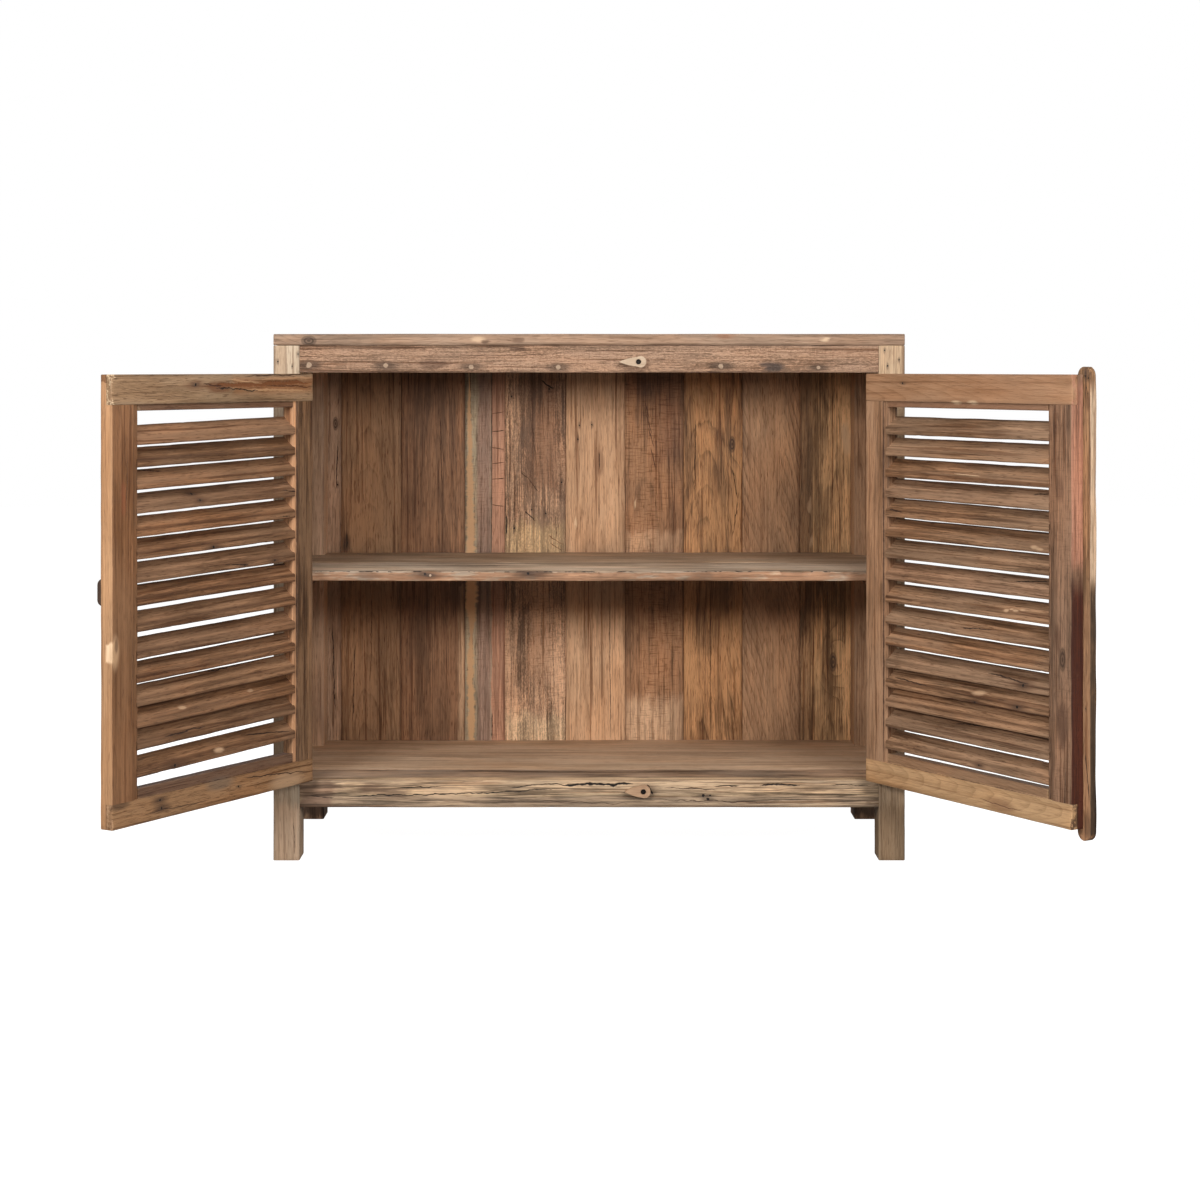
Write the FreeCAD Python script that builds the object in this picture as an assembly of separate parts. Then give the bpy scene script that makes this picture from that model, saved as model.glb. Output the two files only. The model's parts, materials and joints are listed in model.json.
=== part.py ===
import FreeCAD, Part
import math
import os
from FreeCAD import Vector

# Louvred door cabinet in reclaimed teak, standing with both doors open.
# Millimetres. X runs along the front, Y goes back into the cabinet, Z is up.
# The origin is on the floor, on the front face, on the cabinet's centre line.
# Each door is worked out closed and then swung about its hinge pins to its resting angle.

# ---- driving dimensions: carcass ----
width = 1000.0
depth = 400.0
height = 834.0
top_thickness = 18.5
post_width = 41.5
front_post_depth = 54.0
rear_post_depth = 60.0
rail_height = 43.0
rail_depth = 28.0
leg_clearance = 84.0          # floor to the underside of the bottom rails
back_plank_thickness = 12.0
side_plank_thickness = 14.0
bottom_board_thickness = 16.0
shelf_thickness = 16.0
shelf_top_height = 456.0
shelf_setback = 27.0          # front face to the shelf's front edge
cleat_width = 20.0
cleat_height = 25.0
arris = 1.5                   # eased long edges of the sawn timber
top_arris = 3.0               # rounder front edge of the top boards

# Reclaimed boards differ in width. The last board of each run takes what is left.
top_board_depths = (128.0, 140.0)
bottom_board_depths = (68.0, 170.0)
shelf_front_board_depth = 157.0
side_front_plank_depth = 150.0
back_plank_widths = (65.0, 105.0, 112.0, 70.0, 107.0, 104.0, 103.0, 103.0, 101.0)

# ---- driving dimensions: doors ----
door_thickness = 22.0
door_top_gap = 1.5
door_bottom_gap = 3.0
door_hinge_gap = 4.0
door_meeting_gap = 3.0
door_proud = 0.6              # outer face in front of the rails, so that the batten clears them
left_rest_angle = 121.2       # how far each door stands open
right_rest_angle = 122.5
# Each stile is a face strip with a bead along the louvres, set back from the inner face.
left_hinge_face = 38.0
left_hinge_bead = 8.5
left_closing_face = 45.0
left_closing_bead = 10.5
right_hinge_face = 42.0
right_hinge_bead = 8.5
right_closing_face = 38.5
right_closing_bead = 11.5
top_rail_width = 52.0
bottom_rail_width = 50.0
top_rail_bead = 9.0
bottom_rail_bead = 14.0
bead_step = 3.0

slat_depth = 20.8             # outer edge to inner edge, across the door's thickness
slat_edge_height = 11.8       # both edges of a slat are upright
slat_slope = 41.0             # degrees from level, inner edge down
slat_arris = 1.6
slat_tenon_depth = 12.0
slat_tenon_length = 6.0
left_first_slat_drop = 31.7   # top of the louvre opening to the first slat's centre
left_last_slat_rise = 33.7    # bottom of the louvre opening to the last slat's centre
right_first_slat_drop = 28.8
right_last_slat_rise = 20.9
left_slat_tilt = 1.15          # degrees: the slats stand a little higher at the hinge stile
right_slat_tilt = 0.25
# The slats were set by eye: how far each one sits above its even place, top slat first.
left_slat_drift = (0.0, 2.0, 4.0, 4.5, 5.0, 6.5, 6.5, 7.5, 4.5, 0.5, 0.0, 0.0, 2.5, 5.0, 0.0)
right_slat_drift = (0.0, -0.5, -1.0, 0.0, 2.0, 3.5, 4.0, 2.5, 0.0, -1.5, -2.5, -3.5, -1.0, 1.0, 2.0, 0.0)

batten_width = 26.0
batten_thickness = 13.0
batten_lap = 12.0             # how much of the batten lies on its own door
batten_top_overrun = 11.0     # how far it passes the door's top
batten_bottom_overrun = 17.0  # and the door's bottom
batten_relief = 0.6           # clearance to the other door's face
batten_edge = 3.5

pull_height = 39.0            # upright rounded wooden pull on each door
pull_width = 13.0
pull_projection = 26.0
pull_corner = 9.0             # rounding of its outline seen from the side
pull_edge = 4.5
pull_tenon_diameter = 9.0
pull_tenon_length = 14.0
pull_level = 461.0
pull_inset = 26.5             # cabinet's middle plane to the pull's middle

# ---- driving dimensions: butt hinges ----
hinge_height = 60.0
hinge_end_distance = 75.0     # door's end to the hinge's middle
hinge_leaf_width = 18.0
hinge_leaf_thickness = 1.5
knuckle_radius = 4.0
pin_radius = 2.0
pin_forward = 5.0             # pin's centre in front of the front face
pin_fit = 0.04
pin_head_radius = 3.0
pin_head_height = 1.2
knuckle_gap = 0.4
leaf_notch_gap = 0.4
hinge_screw_radius = 1.75
hinge_screw_head_radius = 3.2
hinge_screw_length = 16.0
hinge_screw_spacing = 21.0

# ---- driving dimensions: turn latches ----
# Both are leaf-shaped buttons whittled by hand, so each has its own outline.
top_latch_x = 78.0
top_latch_rise = 17.2         # rail's lower edge to the pivot
top_latch_tip = 31.2          # pivot to the tip
top_latch_end = 12.2          # pivot to the round end
top_latch_half_height = 7.6
bottom_latch_x = 85.6
bottom_latch_drop = 16.5      # rail's upper edge to the pivot
bottom_latch_tip = 29.1
bottom_latch_end = 11.2
bottom_latch_half_height = 8.8
latch_thickness = 9.0
latch_recess_radius = 4.3
latch_recess_depth = 5.0
latch_fit = 0.08
latch_slip = 0.1              # end play under the screw head and over the washer
washer_thickness = 1.0
washer_radius = 5.5
latch_screw_radius = 2.0
latch_screw_head_radius = 3.8
latch_screw_head_height = 3.0
latch_screw_bite = 20.0       # screw length inside the rail

# ---- derived levels and planes ----
half_width = width / 2
post_face = half_width - post_width
side_face = half_width - side_plank_thickness
under_top = height - top_thickness
opening_top = under_top - rail_height
floor_top = leg_clearance + rail_height
floor_under = floor_top - bottom_board_thickness
post_back = depth - back_plank_thickness
rear_post_front = post_back - rear_post_depth
shelf_under = shelf_top_height - shelf_thickness

door_width = post_face - door_hinge_gap - door_meeting_gap / 2
door_bottom = floor_top + door_bottom_gap
door_top = opening_top - door_top_gap
door_height = door_top - door_bottom
door_edge_x = post_face - door_hinge_gap
pin_x = post_face - door_hinge_gap / 2
lap_depth = door_thickness / 2
top_lap = top_rail_width - top_rail_bead
bottom_lap = bottom_rail_width - bottom_rail_bead
louvre_top = door_height - top_rail_width
louvre_bottom = bottom_rail_width
bead_face = door_thickness - bead_step

latch_back = -(washer_thickness + latch_slip)
top_latch_level = opening_top + top_latch_rise
bottom_latch_level = floor_top - bottom_latch_drop
hinge_middles = (door_bottom + hinge_end_distance, door_top - hinge_end_distance)

os.makedirs("parts", exist_ok=True)


def save(node, shape):
    shape.exportStep("parts/%s.step" % node)


def block(x0, x1, y0, y1, z0, z1):
    return Part.makeBox(x1 - x0, y1 - y0, z1 - z0, Vector(x0, y0, z0))


def eased(shape, axis, radius=arris):
    # rounds the four long edges of a block that run along one axis
    along = [e for e in shape.Edges if abs(abs(e.tangentAt(e.FirstParameter).dot(axis)) - 1) < 1e-6]
    return shape.makeFillet(radius, along)


def rod(radius, start, axis, length):
    return Part.makeCylinder(radius, length, start, axis)


def group(solids):
    return Part.makeCompound(solids)


def mirrored(shape):
    return shape.mirror(Vector(0, 0, 0), Vector(1, 0, 0))


AXIS_X = Vector(1, 0, 0)
AXIS_Y = Vector(0, 1, 0)
AXIS_Z = Vector(0, 0, 1)


# ---- hinges, all worked out for the left side with the door closed ----
def hinge_screw(start, axis):
    # countersunk screw: the head fills the leaf, the shank bites the timber
    head = Part.makeCone(
        hinge_screw_head_radius, hinge_screw_radius, hinge_leaf_thickness, start, axis
    )
    shank = rod(hinge_screw_radius, start, axis, hinge_screw_length)
    return head.fuse(shank).removeSplitter()


def hinge_screws(middle, leaf_face_x, leaf_front_y, axis):
    # three screws through one leaf, along the middle of its width
    screw_y = leaf_front_y + hinge_leaf_width / 2
    levels = [middle + k * hinge_screw_spacing for k in (-1, 0, 1)]
    return [hinge_screw(Vector(leaf_face_x, screw_y, z), axis) for z in levels]


def hinge_leaf(middle, x0, x1, leaf_front_y, own_ranges, screws):
    # flat leaf, carried forward to the knuckles in its own ranges and notched elsewhere
    low = middle - hinge_height / 2
    pin = Vector(-pin_x, -pin_forward, 0)
    notch_front = -pin_forward + knuckle_radius + leaf_notch_gap
    plate = block(x0, x1, notch_front, leaf_front_y + hinge_leaf_width, low, low + hinge_height)
    for start, end in own_ranges:
        reach = block(x0, x1, -pin_forward, leaf_front_y, low + start, low + end)
        knuckle = rod(knuckle_radius, pin + Vector(0, 0, low + start), AXIS_Z, end - start)
        plate = plate.fuse(reach).fuse(knuckle)
    bore = rod(pin_radius + pin_fit, pin + Vector(0, 0, low), AXIS_Z, hinge_height)
    plate = plate.removeSplitter().cut(bore)
    for screw in screws:
        plate = plate.cut(screw)
    return plate


def hinge_pin(middle):
    low = middle - hinge_height / 2
    base = Vector(-pin_x, -pin_forward, low)
    pin = rod(pin_radius, base, AXIS_Z, hinge_height)
    foot = rod(pin_head_radius, base - Vector(0, 0, pin_head_height), AXIS_Z, pin_head_height)
    cap = rod(pin_head_radius, base + Vector(0, 0, hinge_height), AXIS_Z, pin_head_height)
    return pin.fuse(foot).fuse(cap)


knuckle_length = hinge_height / 3
post_ranges = (
    (0.0, knuckle_length - knuckle_gap / 2),
    (2 * knuckle_length + knuckle_gap / 2, hinge_height),
)
door_ranges = ((knuckle_length + knuckle_gap / 2, 2 * knuckle_length - knuckle_gap / 2),)
post_leaf_x = -post_face + hinge_leaf_thickness
door_leaf_x = -door_edge_x - hinge_leaf_thickness

post_screws = []
post_leaves = []
door_screws = []
door_leaves = []
pins = []
for middle in hinge_middles:
    into_post = hinge_screws(middle, post_leaf_x, 0.0, -AXIS_X)
    into_door = hinge_screws(middle, door_leaf_x, -door_proud, AXIS_X)
    post_screws += into_post
    door_screws += into_door
    post_leaves.append(hinge_leaf(middle, -post_face, post_leaf_x, 0.0, post_ranges, into_post))
    door_leaves.append(
        hinge_leaf(middle, door_leaf_x, -door_edge_x, -door_proud, door_ranges, into_door)
    )
    pins.append(hinge_pin(middle))


def both_sides(solids):
    return group(solids + [mirrored(s) for s in solids])


save("hinge_post_leaves", both_sides(post_leaves))
save("hinge_post_screws", both_sides(post_screws))
save("hinge_pins", both_sides(pins))


# ---- turn latches ----
def latch_screw(x, level):
    # round-headed screw sunk in the latch's recess, biting into the rail
    seat = Vector(x, latch_back - latch_thickness + latch_recess_depth - latch_slip, level)
    head = rod(latch_screw_head_radius, seat, -AXIS_Y, latch_screw_head_height)
    shank = rod(latch_screw_radius, seat, AXIS_Y, latch_screw_bite - seat.y)
    return head.fuse(shank).removeSplitter()


def latch_washer(x, level):
    washer = rod(washer_radius, Vector(x, -washer_thickness, level), AXIS_Y, washer_thickness)
    return washer.cut(rod(latch_screw_radius, Vector(x, -depth, level), AXIS_Y, depth))


def latch(x, level, tip_length, end_length, half_height):
    # leaf outline, widest just left of the pivot: bellied sides to a pointed tip, round end
    front = latch_back - latch_thickness
    wide_x = x - (half_height - end_length + half_height) / 2
    tip = Vector(x - tip_length, front, level)
    nose = Vector(x + end_length, front, level)
    upper = Vector(wide_x, front, level + half_height)
    lower = Vector(wide_x, front, level - half_height)
    belly_x = (tip.x + wide_x) / 2
    belly = half_height * 0.68
    outline = Part.Wire(
        [
            Part.Arc(tip, Vector(belly_x, front, level + belly), upper).toShape(),
            Part.Arc(upper, nose, lower).toShape(),
            Part.Arc(lower, Vector(belly_x, front, level - belly), tip).toShape(),
        ]
    )
    body = Part.Face(outline).extrude(AXIS_Y * latch_thickness)
    bore_start = Vector(x, front, level)
    bore = rod(latch_screw_radius + latch_fit, bore_start, AXIS_Y, latch_thickness)
    recess = rod(latch_recess_radius, bore_start, AXIS_Y, latch_recess_depth)
    return body.cut(bore).cut(recess)


top_latch_screw = latch_screw(top_latch_x, top_latch_level)
bottom_latch_screw = latch_screw(bottom_latch_x, bottom_latch_level)
save("latch_screws", group([top_latch_screw, bottom_latch_screw]))
save(
    "latch_washers",
    group(
        [
            latch_washer(top_latch_x, top_latch_level),
            latch_washer(bottom_latch_x, bottom_latch_level),
        ]
    ),
)
save(
    "top_latch",
    latch(top_latch_x, top_latch_level, top_latch_tip, top_latch_end, top_latch_half_height),
)
save(
    "bottom_latch",
    latch(
        bottom_latch_x,
        bottom_latch_level,
        bottom_latch_tip,
        bottom_latch_end,
        bottom_latch_half_height,
    ),
)


# ---- corner posts ----
front_post = eased(block(-half_width, -post_face, 0, front_post_depth, 0, under_top), AXIS_Z)
for screw in post_screws:
    front_post = front_post.cut(screw)
rear_post = block(-half_width, -post_face, rear_post_front, post_back, 0, under_top)
rear_post = eased(rear_post, AXIS_Z)
save("front_left_post", front_post)
save("front_right_post", mirrored(front_post))
save("rear_left_post", rear_post)
save("rear_right_post", mirrored(rear_post))

# ---- rails ----
front_top_rail = block(-post_face, post_face, 0, rail_depth, opening_top, under_top)
front_bottom_rail = block(-post_face, post_face, 0, rail_depth, leg_clearance, floor_top)
save("front_top_rail", eased(front_top_rail, AXIS_X).cut(top_latch_screw))
save("front_bottom_rail", eased(front_bottom_rail, AXIS_X).cut(bottom_latch_screw))

rear_rail_front = post_back - rail_depth
rear_top_rail = block(-post_face, post_face, rear_rail_front, post_back, opening_top, under_top)
rear_bottom_rail = block(
    -post_face, post_face, rear_rail_front, post_back, leg_clearance, floor_under
)
save("rear_top_rail", eased(rear_top_rail, AXIS_X))
save("rear_bottom_rail", eased(rear_bottom_rail, AXIS_X))

top_side_rail = block(
    -side_face, -post_face, front_post_depth, rear_post_front, opening_top, under_top
)
bottom_side_rail = block(
    -side_face, -post_face, front_post_depth, rear_post_front, leg_clearance, floor_under
)
top_side_rail = eased(top_side_rail, AXIS_Y)
bottom_side_rail = eased(bottom_side_rail, AXIS_Y)
save("left_top_side_rail", top_side_rail)
save("right_top_side_rail", mirrored(top_side_rail))
save("left_bottom_side_rail", bottom_side_rail)
save("right_bottom_side_rail", mirrored(bottom_side_rail))


# ---- board runs ----
def run_edges(start, end, sizes):
    # edges of boards laid side by side from start, the last one ending at end
    edges = [start]
    for size in sizes:
        edges.append(edges[-1] + size)
    edges.append(end)
    return edges


corner_room = group(
    [
        block(-half_width, -post_face, -depth, front_post_depth, 0, height),
        block(-half_width, -post_face, rear_post_front, post_back, 0, height),
        block(post_face, half_width, -depth, front_post_depth, 0, height),
        block(post_face, half_width, rear_post_front, post_back, 0, height),
    ]
)

top_edges = run_edges(0.0, depth, top_board_depths)
for n in range(len(top_edges) - 1):
    radius = top_arris if n == 0 else arris
    board = block(-half_width, half_width, top_edges[n], top_edges[n + 1], under_top, height)
    save("top_board_%d" % (n + 1), eased(board, AXIS_X, radius))


def inside_board(y0, y1, z0, z1):
    # a board that runs from side to side and is notched round the corner posts
    return eased(block(-side_face, side_face, y0, y1, z0, z1), AXIS_X).cut(corner_room)


bottom_names = ("bottom_board_front", "bottom_board_middle", "bottom_board_rear")
bottom_edges = run_edges(rail_depth, post_back, bottom_board_depths)
for n in range(len(bottom_names)):
    board = inside_board(bottom_edges[n], bottom_edges[n + 1], floor_under, floor_top)
    save(bottom_names[n], board)

shelf_names = ("shelf_board_front", "shelf_board_rear")
shelf_edges = run_edges(shelf_setback, post_back, (shelf_front_board_depth,))
for n in range(len(shelf_names)):
    board = inside_board(shelf_edges[n], shelf_edges[n + 1], shelf_under, shelf_top_height)
    save(shelf_names[n], board)

cleat = block(
    -side_face,
    -side_face + cleat_width,
    front_post_depth,
    rear_post_front,
    shelf_under - cleat_height,
    shelf_under,
)
cleat = eased(cleat, AXIS_Y)
save("left_shelf_cleat", cleat)
save("right_shelf_cleat", mirrored(cleat))

side_edges = run_edges(front_post_depth, rear_post_front, (side_front_plank_depth,))
for n, end in enumerate(("front", "rear")):
    plank = block(
        -half_width, -side_face, side_edges[n], side_edges[n + 1], leg_clearance, under_top
    )
    plank = eased(plank, AXIS_Z)
    save("left_side_plank_" + end, plank)
    save("right_side_plank_" + end, mirrored(plank))

back_edges = run_edges(-half_width, half_width, back_plank_widths)
for n in range(len(back_edges) - 1):
    plank = block(back_edges[n], back_edges[n + 1], post_back, depth, leg_clearance, under_top)
    save("back_plank_%02d" % (n + 1), eased(plank, AXIS_Z))


# ---- doors: u from the hinge edge, v from the outer face inwards, w up from the door's foot ----
def door_block(u0, u1, v0, v1, w0, w1):
    x0 = -door_edge_x
    y0 = -door_proud
    return block(x0 + u0, x0 + u1, y0 + v0, y0 + v1, door_bottom + w0, door_bottom + w1)


def stile(u_outer, inward, face_width, bead_width):
    # full-height stile: face strip, set-back bead, inner half cut away at both ends for the laps
    face = sorted((u_outer, u_outer + inward * face_width))
    whole = sorted((u_outer, u_outer + inward * (face_width + bead_width)))
    body = door_block(face[0], face[1], 0, door_thickness, 0, door_height)
    body = body.fuse(door_block(whole[0], whole[1], 0, bead_face, 0, door_height))
    top_cut = door_block(
        whole[0], whole[1], lap_depth, door_thickness, door_height - top_lap, door_height
    )
    bottom_cut = door_block(whole[0], whole[1], lap_depth, door_thickness, 0, bottom_lap)
    return body.removeSplitter().cut(top_cut).cut(bottom_cut)


def lapped_rail(louvre_start, louvre_end, w0, w1, lap0, lap1):
    # the inner half runs full width over the stiles, the rest fits between them
    lap = door_block(0, door_width, lap_depth, door_thickness, lap0, lap1)
    web = door_block(louvre_start, louvre_end, 0, bead_face, w0, w1)
    return lap.fuse(web).removeSplitter()


def slat_section(section_depth, centre_w):
    # strip with upright edges, its faces falling inwards, seen along the door
    half = section_depth / 2
    fall = half * math.tan(math.radians(slat_slope))
    rise = slat_edge_height / 2
    outline = Part.makePolygon(
        [
            Vector(0, -half, fall + rise),
            Vector(0, -half, fall - rise),
            Vector(0, half, -fall - rise),
            Vector(0, half, -fall + rise),
            Vector(0, -half, fall + rise),
        ]
    )
    strip = eased(Part.Face(outline).extrude(AXIS_X), AXIS_X, slat_arris)
    face = [f for f in strip.Faces if abs(f.CenterOfMass.x) < 1e-6][0]
    face.translate(Vector(0, -door_proud + lap_depth, door_bottom + centre_w))
    return face


def slat(centre_w, tilt, louvre_start, louvre_end):
    # the strip between the stiles, with a narrower stub tenon at each end
    body = slat_section(slat_depth, centre_w)
    tenon = slat_section(slat_tenon_depth, centre_w)
    body_start = -door_edge_x + louvre_start
    body_length = louvre_end - louvre_start
    run = Vector(1, 0, -math.tan(math.radians(tilt)))
    middle = Vector(body_start + body_length / 2, 0, 0)
    body.translate(middle - run * (body_length / 2))
    tenon.translate(middle - run * (body_length / 2 + slat_tenon_length))
    strip = body.extrude(run * body_length)
    stubs = tenon.extrude(run * (body_length + 2 * slat_tenon_length))
    return strip.fuse(stubs).removeSplitter()


def slats(first_drop, last_rise, drift, tilt, louvre_start, louvre_end):
    first = louvre_top - first_drop
    pitch = (first - louvre_bottom - last_rise) / (len(drift) - 1)
    levels = [first - n * pitch + shift for n, shift in enumerate(drift)]
    return [slat(level, tilt, louvre_start, louvre_end) for level in levels]


def pull():
    # upright pull: a rounded block with eased edges and a round tenon in the stile
    body = block(
        -pull_width / 2, pull_width / 2, -pull_projection, 0, -pull_height / 2, pull_height / 2
    )
    corners = [
        e
        for e in body.Edges
        if e.BoundBox.XLength > 1 and abs(e.CenterOfMass.y + pull_projection) < 1e-6
    ]
    body = body.makeFillet(pull_corner, corners)
    rims = [e for e in body.Edges if e.BoundBox.XLength < 1e-6 and e.BoundBox.YMin < -1e-6]
    body = body.makeFillet(pull_edge, rims)
    tenon = rod(pull_tenon_diameter / 2, Vector(0, 0, 0), AXIS_Y, pull_tenon_length)
    whole = body.fuse(tenon).removeSplitter()
    whole.translate(Vector(-pull_inset, -door_proud, pull_level))
    return whole


def batten():
    # cover strip on the outer face, straddling the closing edge, with round ends
    x0 = -door_meeting_gap / 2 - batten_lap
    x1 = x0 + batten_width
    back = -door_proud
    front = back - batten_thickness
    end_radius = batten_width / 2
    low = door_bottom - batten_bottom_overrun + end_radius
    high = door_top + batten_top_overrun - end_radius
    middle_x = x0 + end_radius
    outline = Part.Wire(
        [
            Part.makeLine(Vector(x0, back, low), Vector(x0, back, high)),
            Part.Arc(
                Vector(x0, back, high),
                Vector(middle_x, back, high + end_radius),
                Vector(x1, back, high),
            ).toShape(),
            Part.makeLine(Vector(x1, back, high), Vector(x1, back, low)),
            Part.Arc(
                Vector(x1, back, low),
                Vector(middle_x, back, low - end_radius),
                Vector(x0, back, low),
            ).toShape(),
        ]
    )
    body = Part.Face(outline).extrude(-AXIS_Y * batten_thickness)
    front_edges = [e for e in body.Edges if abs(e.BoundBox.YMax - front) < 1e-6]
    body = body.makeFillet(batten_edge, front_edges)
    own_edge = -door_meeting_gap / 2
    relief = block(own_edge, x1 + 1, back - batten_relief, back + 1, 0, height)
    return body.cut(relief)


def swung(shape, angle):
    # the left door opens clockwise seen from above
    turned = shape.copy()
    turned.rotate(Vector(-pin_x, -pin_forward, 0), AXIS_Z, -angle)
    return turned


def door(side, angle, hinge_widths, closing_widths, slat_setting, with_batten):
    # builds one door as a left-hand door and mirrors it for the right;
    # each stile's widths are its face strip and its bead
    louvre_start = sum(hinge_widths)
    louvre_end = door_width - sum(closing_widths)
    set_of_slats = slats(*slat_setting, louvre_start, louvre_end)
    handle = pull()
    hinge_stile = stile(0.0, 1, *hinge_widths)
    closing_stile = stile(door_width, -1, *closing_widths)
    for strip in set_of_slats:
        hinge_stile = hinge_stile.cut(strip)
        closing_stile = closing_stile.cut(strip)
    for screw in door_screws:
        hinge_stile = hinge_stile.cut(screw)
    closing_stile = closing_stile.cut(handle)
    pieces = {
        "hinge_stile": hinge_stile,
        "closing_stile": closing_stile,
        "door_top_rail": lapped_rail(
            louvre_start, louvre_end, louvre_top, door_height, door_height - top_lap, door_height
        ),
        "door_bottom_rail": lapped_rail(
            louvre_start, louvre_end, 0, louvre_bottom, 0, bottom_lap
        ),
        "louvre_slats": group(set_of_slats),
        "pull": handle,
        "door_hinge_leaves": group(door_leaves),
        "door_hinge_screws": group(door_screws),
    }
    if with_batten:
        pieces["closing_batten"] = batten()
    for name, shape in pieces.items():
        placed = swung(shape, angle)
        save(side + "_" + name, mirrored(placed) if side == "right" else placed)


door(
    "left",
    left_rest_angle,
    (left_hinge_face, left_hinge_bead),
    (left_closing_face, left_closing_bead),
    (left_first_slat_drop, left_last_slat_rise, left_slat_drift, left_slat_tilt),
    with_batten=False,
)
door(
    "right",
    right_rest_angle,
    (right_hinge_face, right_hinge_bead),
    (right_closing_face, right_closing_bead),
    (right_first_slat_drop, right_last_slat_rise, right_slat_drift, right_slat_tilt),
    with_batten=True,
)
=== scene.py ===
import json
import math
import bmesh
import bpy
import numpy as np
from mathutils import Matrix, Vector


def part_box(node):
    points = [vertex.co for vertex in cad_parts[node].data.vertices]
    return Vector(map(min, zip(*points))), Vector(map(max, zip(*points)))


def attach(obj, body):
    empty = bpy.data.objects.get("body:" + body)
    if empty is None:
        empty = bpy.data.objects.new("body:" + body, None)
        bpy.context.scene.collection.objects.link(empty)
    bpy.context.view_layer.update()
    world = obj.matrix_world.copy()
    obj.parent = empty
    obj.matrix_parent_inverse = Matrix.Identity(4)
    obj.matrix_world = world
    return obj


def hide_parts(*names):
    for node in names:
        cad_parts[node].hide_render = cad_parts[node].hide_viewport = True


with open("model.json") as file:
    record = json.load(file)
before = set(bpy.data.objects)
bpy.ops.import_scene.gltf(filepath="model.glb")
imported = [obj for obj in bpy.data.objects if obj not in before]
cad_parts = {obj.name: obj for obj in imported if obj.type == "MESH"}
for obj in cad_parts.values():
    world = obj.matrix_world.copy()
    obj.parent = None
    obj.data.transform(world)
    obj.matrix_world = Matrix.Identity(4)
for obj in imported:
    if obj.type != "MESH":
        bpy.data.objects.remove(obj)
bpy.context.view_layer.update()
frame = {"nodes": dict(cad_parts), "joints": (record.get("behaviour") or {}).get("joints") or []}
print("frame loaded:", len(frame["nodes"]), "nodes")

mm = 0.001
sceneTree = bpy.context.scene
up, right, back = (0, 0, 1), (1, 0, 0), (0, 1, 0)
left, front = (-1, 0, 0), (0, -1, 0)
black = (24, 17, 12)                 # cracks and nail holes, as all tones from 0 to 255


def linear(tone):
    # 0-255 screen colour to linear light
    c = np.array(tone, float) / 255
    c = np.where(c <= 0.04045, c / 12.92, ((c + 0.055) / 1.055) ** 2.4)
    return (*map(float, c), 1.0)


def ripple(seed, pairs, count=8):
    # smooth wandering value of about -1 to 1: a sum of sine waves with random headings,
    # each pair holds a coordinate array and a wavelength
    rng = np.random.default_rng(seed)
    total = 0.0
    for n in range(count):
        phase = rng.uniform(0, 2 * math.pi)
        for values, wave in pairs:
            phase = phase + values * (rng.normal() * 2 * math.pi / wave)
        total = total + np.sin(phase)
    return total / math.sqrt(count) * 0.9


def chips(seed, along, wave, level):
    # 0 for most of the length, rising to 1 where a bit of edge has broken away
    value = ripple(seed, [(along, wave)]) + 0.35 * ripple(seed + 1, [(along, wave * 0.23)])
    return np.clip((value - level) / 0.6, 0, 1)


def addObject(name, data):
    thing = bpy.data.objects.new(name, data)
    sceneTree.collection.objects.link(thing)
    return thing


def addNode(tree, kind, **values):
    node = tree.nodes.new(kind)
    for key, value in values.items():
        setattr(node, key, value)
    return node


class Wire:
    # a node's output, so that node maths reads as a formula; vectors use Vector Math
    def __init__(self, socket):
        self.socket = socket
        self.tree = socket.id_data

    def math(self, operation, *others, clamp=False):
        number = self.socket.type == "VALUE"
        node = addNode(self.tree, "ShaderNodeMath" if number else "ShaderNodeVectorMath", operation=operation)
        if clamp:
            node.use_clamp = True
        for socket, value in zip(node.inputs, (self, *others)):
            feed(socket, value)
        return Wire(node.outputs["Value" if operation in ("LENGTH", "DOT_PRODUCT") else 0])

    def scaled(self, factor):
        node = addNode(self.tree, "ShaderNodeVectorMath", operation="SCALE")
        feed(node.inputs[0], self)
        feed(node.inputs[3], factor)
        return Wire(node.outputs[0])

    def __add__(self, other):
        return self.math("ADD", other)

    def __sub__(self, other):
        return self.math("SUBTRACT", other)

    def __mul__(self, other):
        return self.math("MULTIPLY", other)

    def __truediv__(self, other):
        return self.math("DIVIDE", other)


def feed(socket, value):
    # a wire is linked, anything else becomes the socket's own value
    if isinstance(value, Wire):
        value.tree.links.new(value.socket, socket)
    else:
        socket.default_value = value


def noise(vector, stretch, detail=2.0, rough=0.5):
    # noise whose size differs along, across and through the board, as a value and a colour
    node = addNode(vector.tree, "ShaderNodeTexNoise", noise_dimensions="3D")
    values = {"Vector": vector * stretch, "Scale": 1.0, "Detail": detail, "Roughness": rough}
    for label, value in values.items():
        feed(node.inputs[label], value)
    return Wire(node.outputs[0]), Wire(node.outputs["Color"])


def split(wire):
    kind = "ShaderNodeSeparateColor" if wire.socket.type == "RGBA" else "ShaderNodeSeparateXYZ"
    node = addNode(wire.tree, kind)
    feed(node.inputs[0], wire)
    return [Wire(socket) for socket in node.outputs]


def mixColor(factor, a, b, blend="MIX"):
    tree = next(value.tree for value in (factor, a) if isinstance(value, Wire))
    node = addNode(tree, "ShaderNodeMix", data_type="RGBA", blend_type=blend)
    for slot, value in ((0, factor), (6, a), (7, b)):
        feed(node.inputs[slot], value)
    return Wire(node.outputs[2])


def ease(value, low, high, start=0.0, end=1.0):
    # smooth step from start at low to end at high
    node = addNode(value.tree, "ShaderNodeMapRange", interpolation_type="SMOOTHSTEP")
    for socket, item in zip(node.inputs, (value, low, high, start, end)):
        feed(socket, item)
    return Wire(node.outputs[0])


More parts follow.
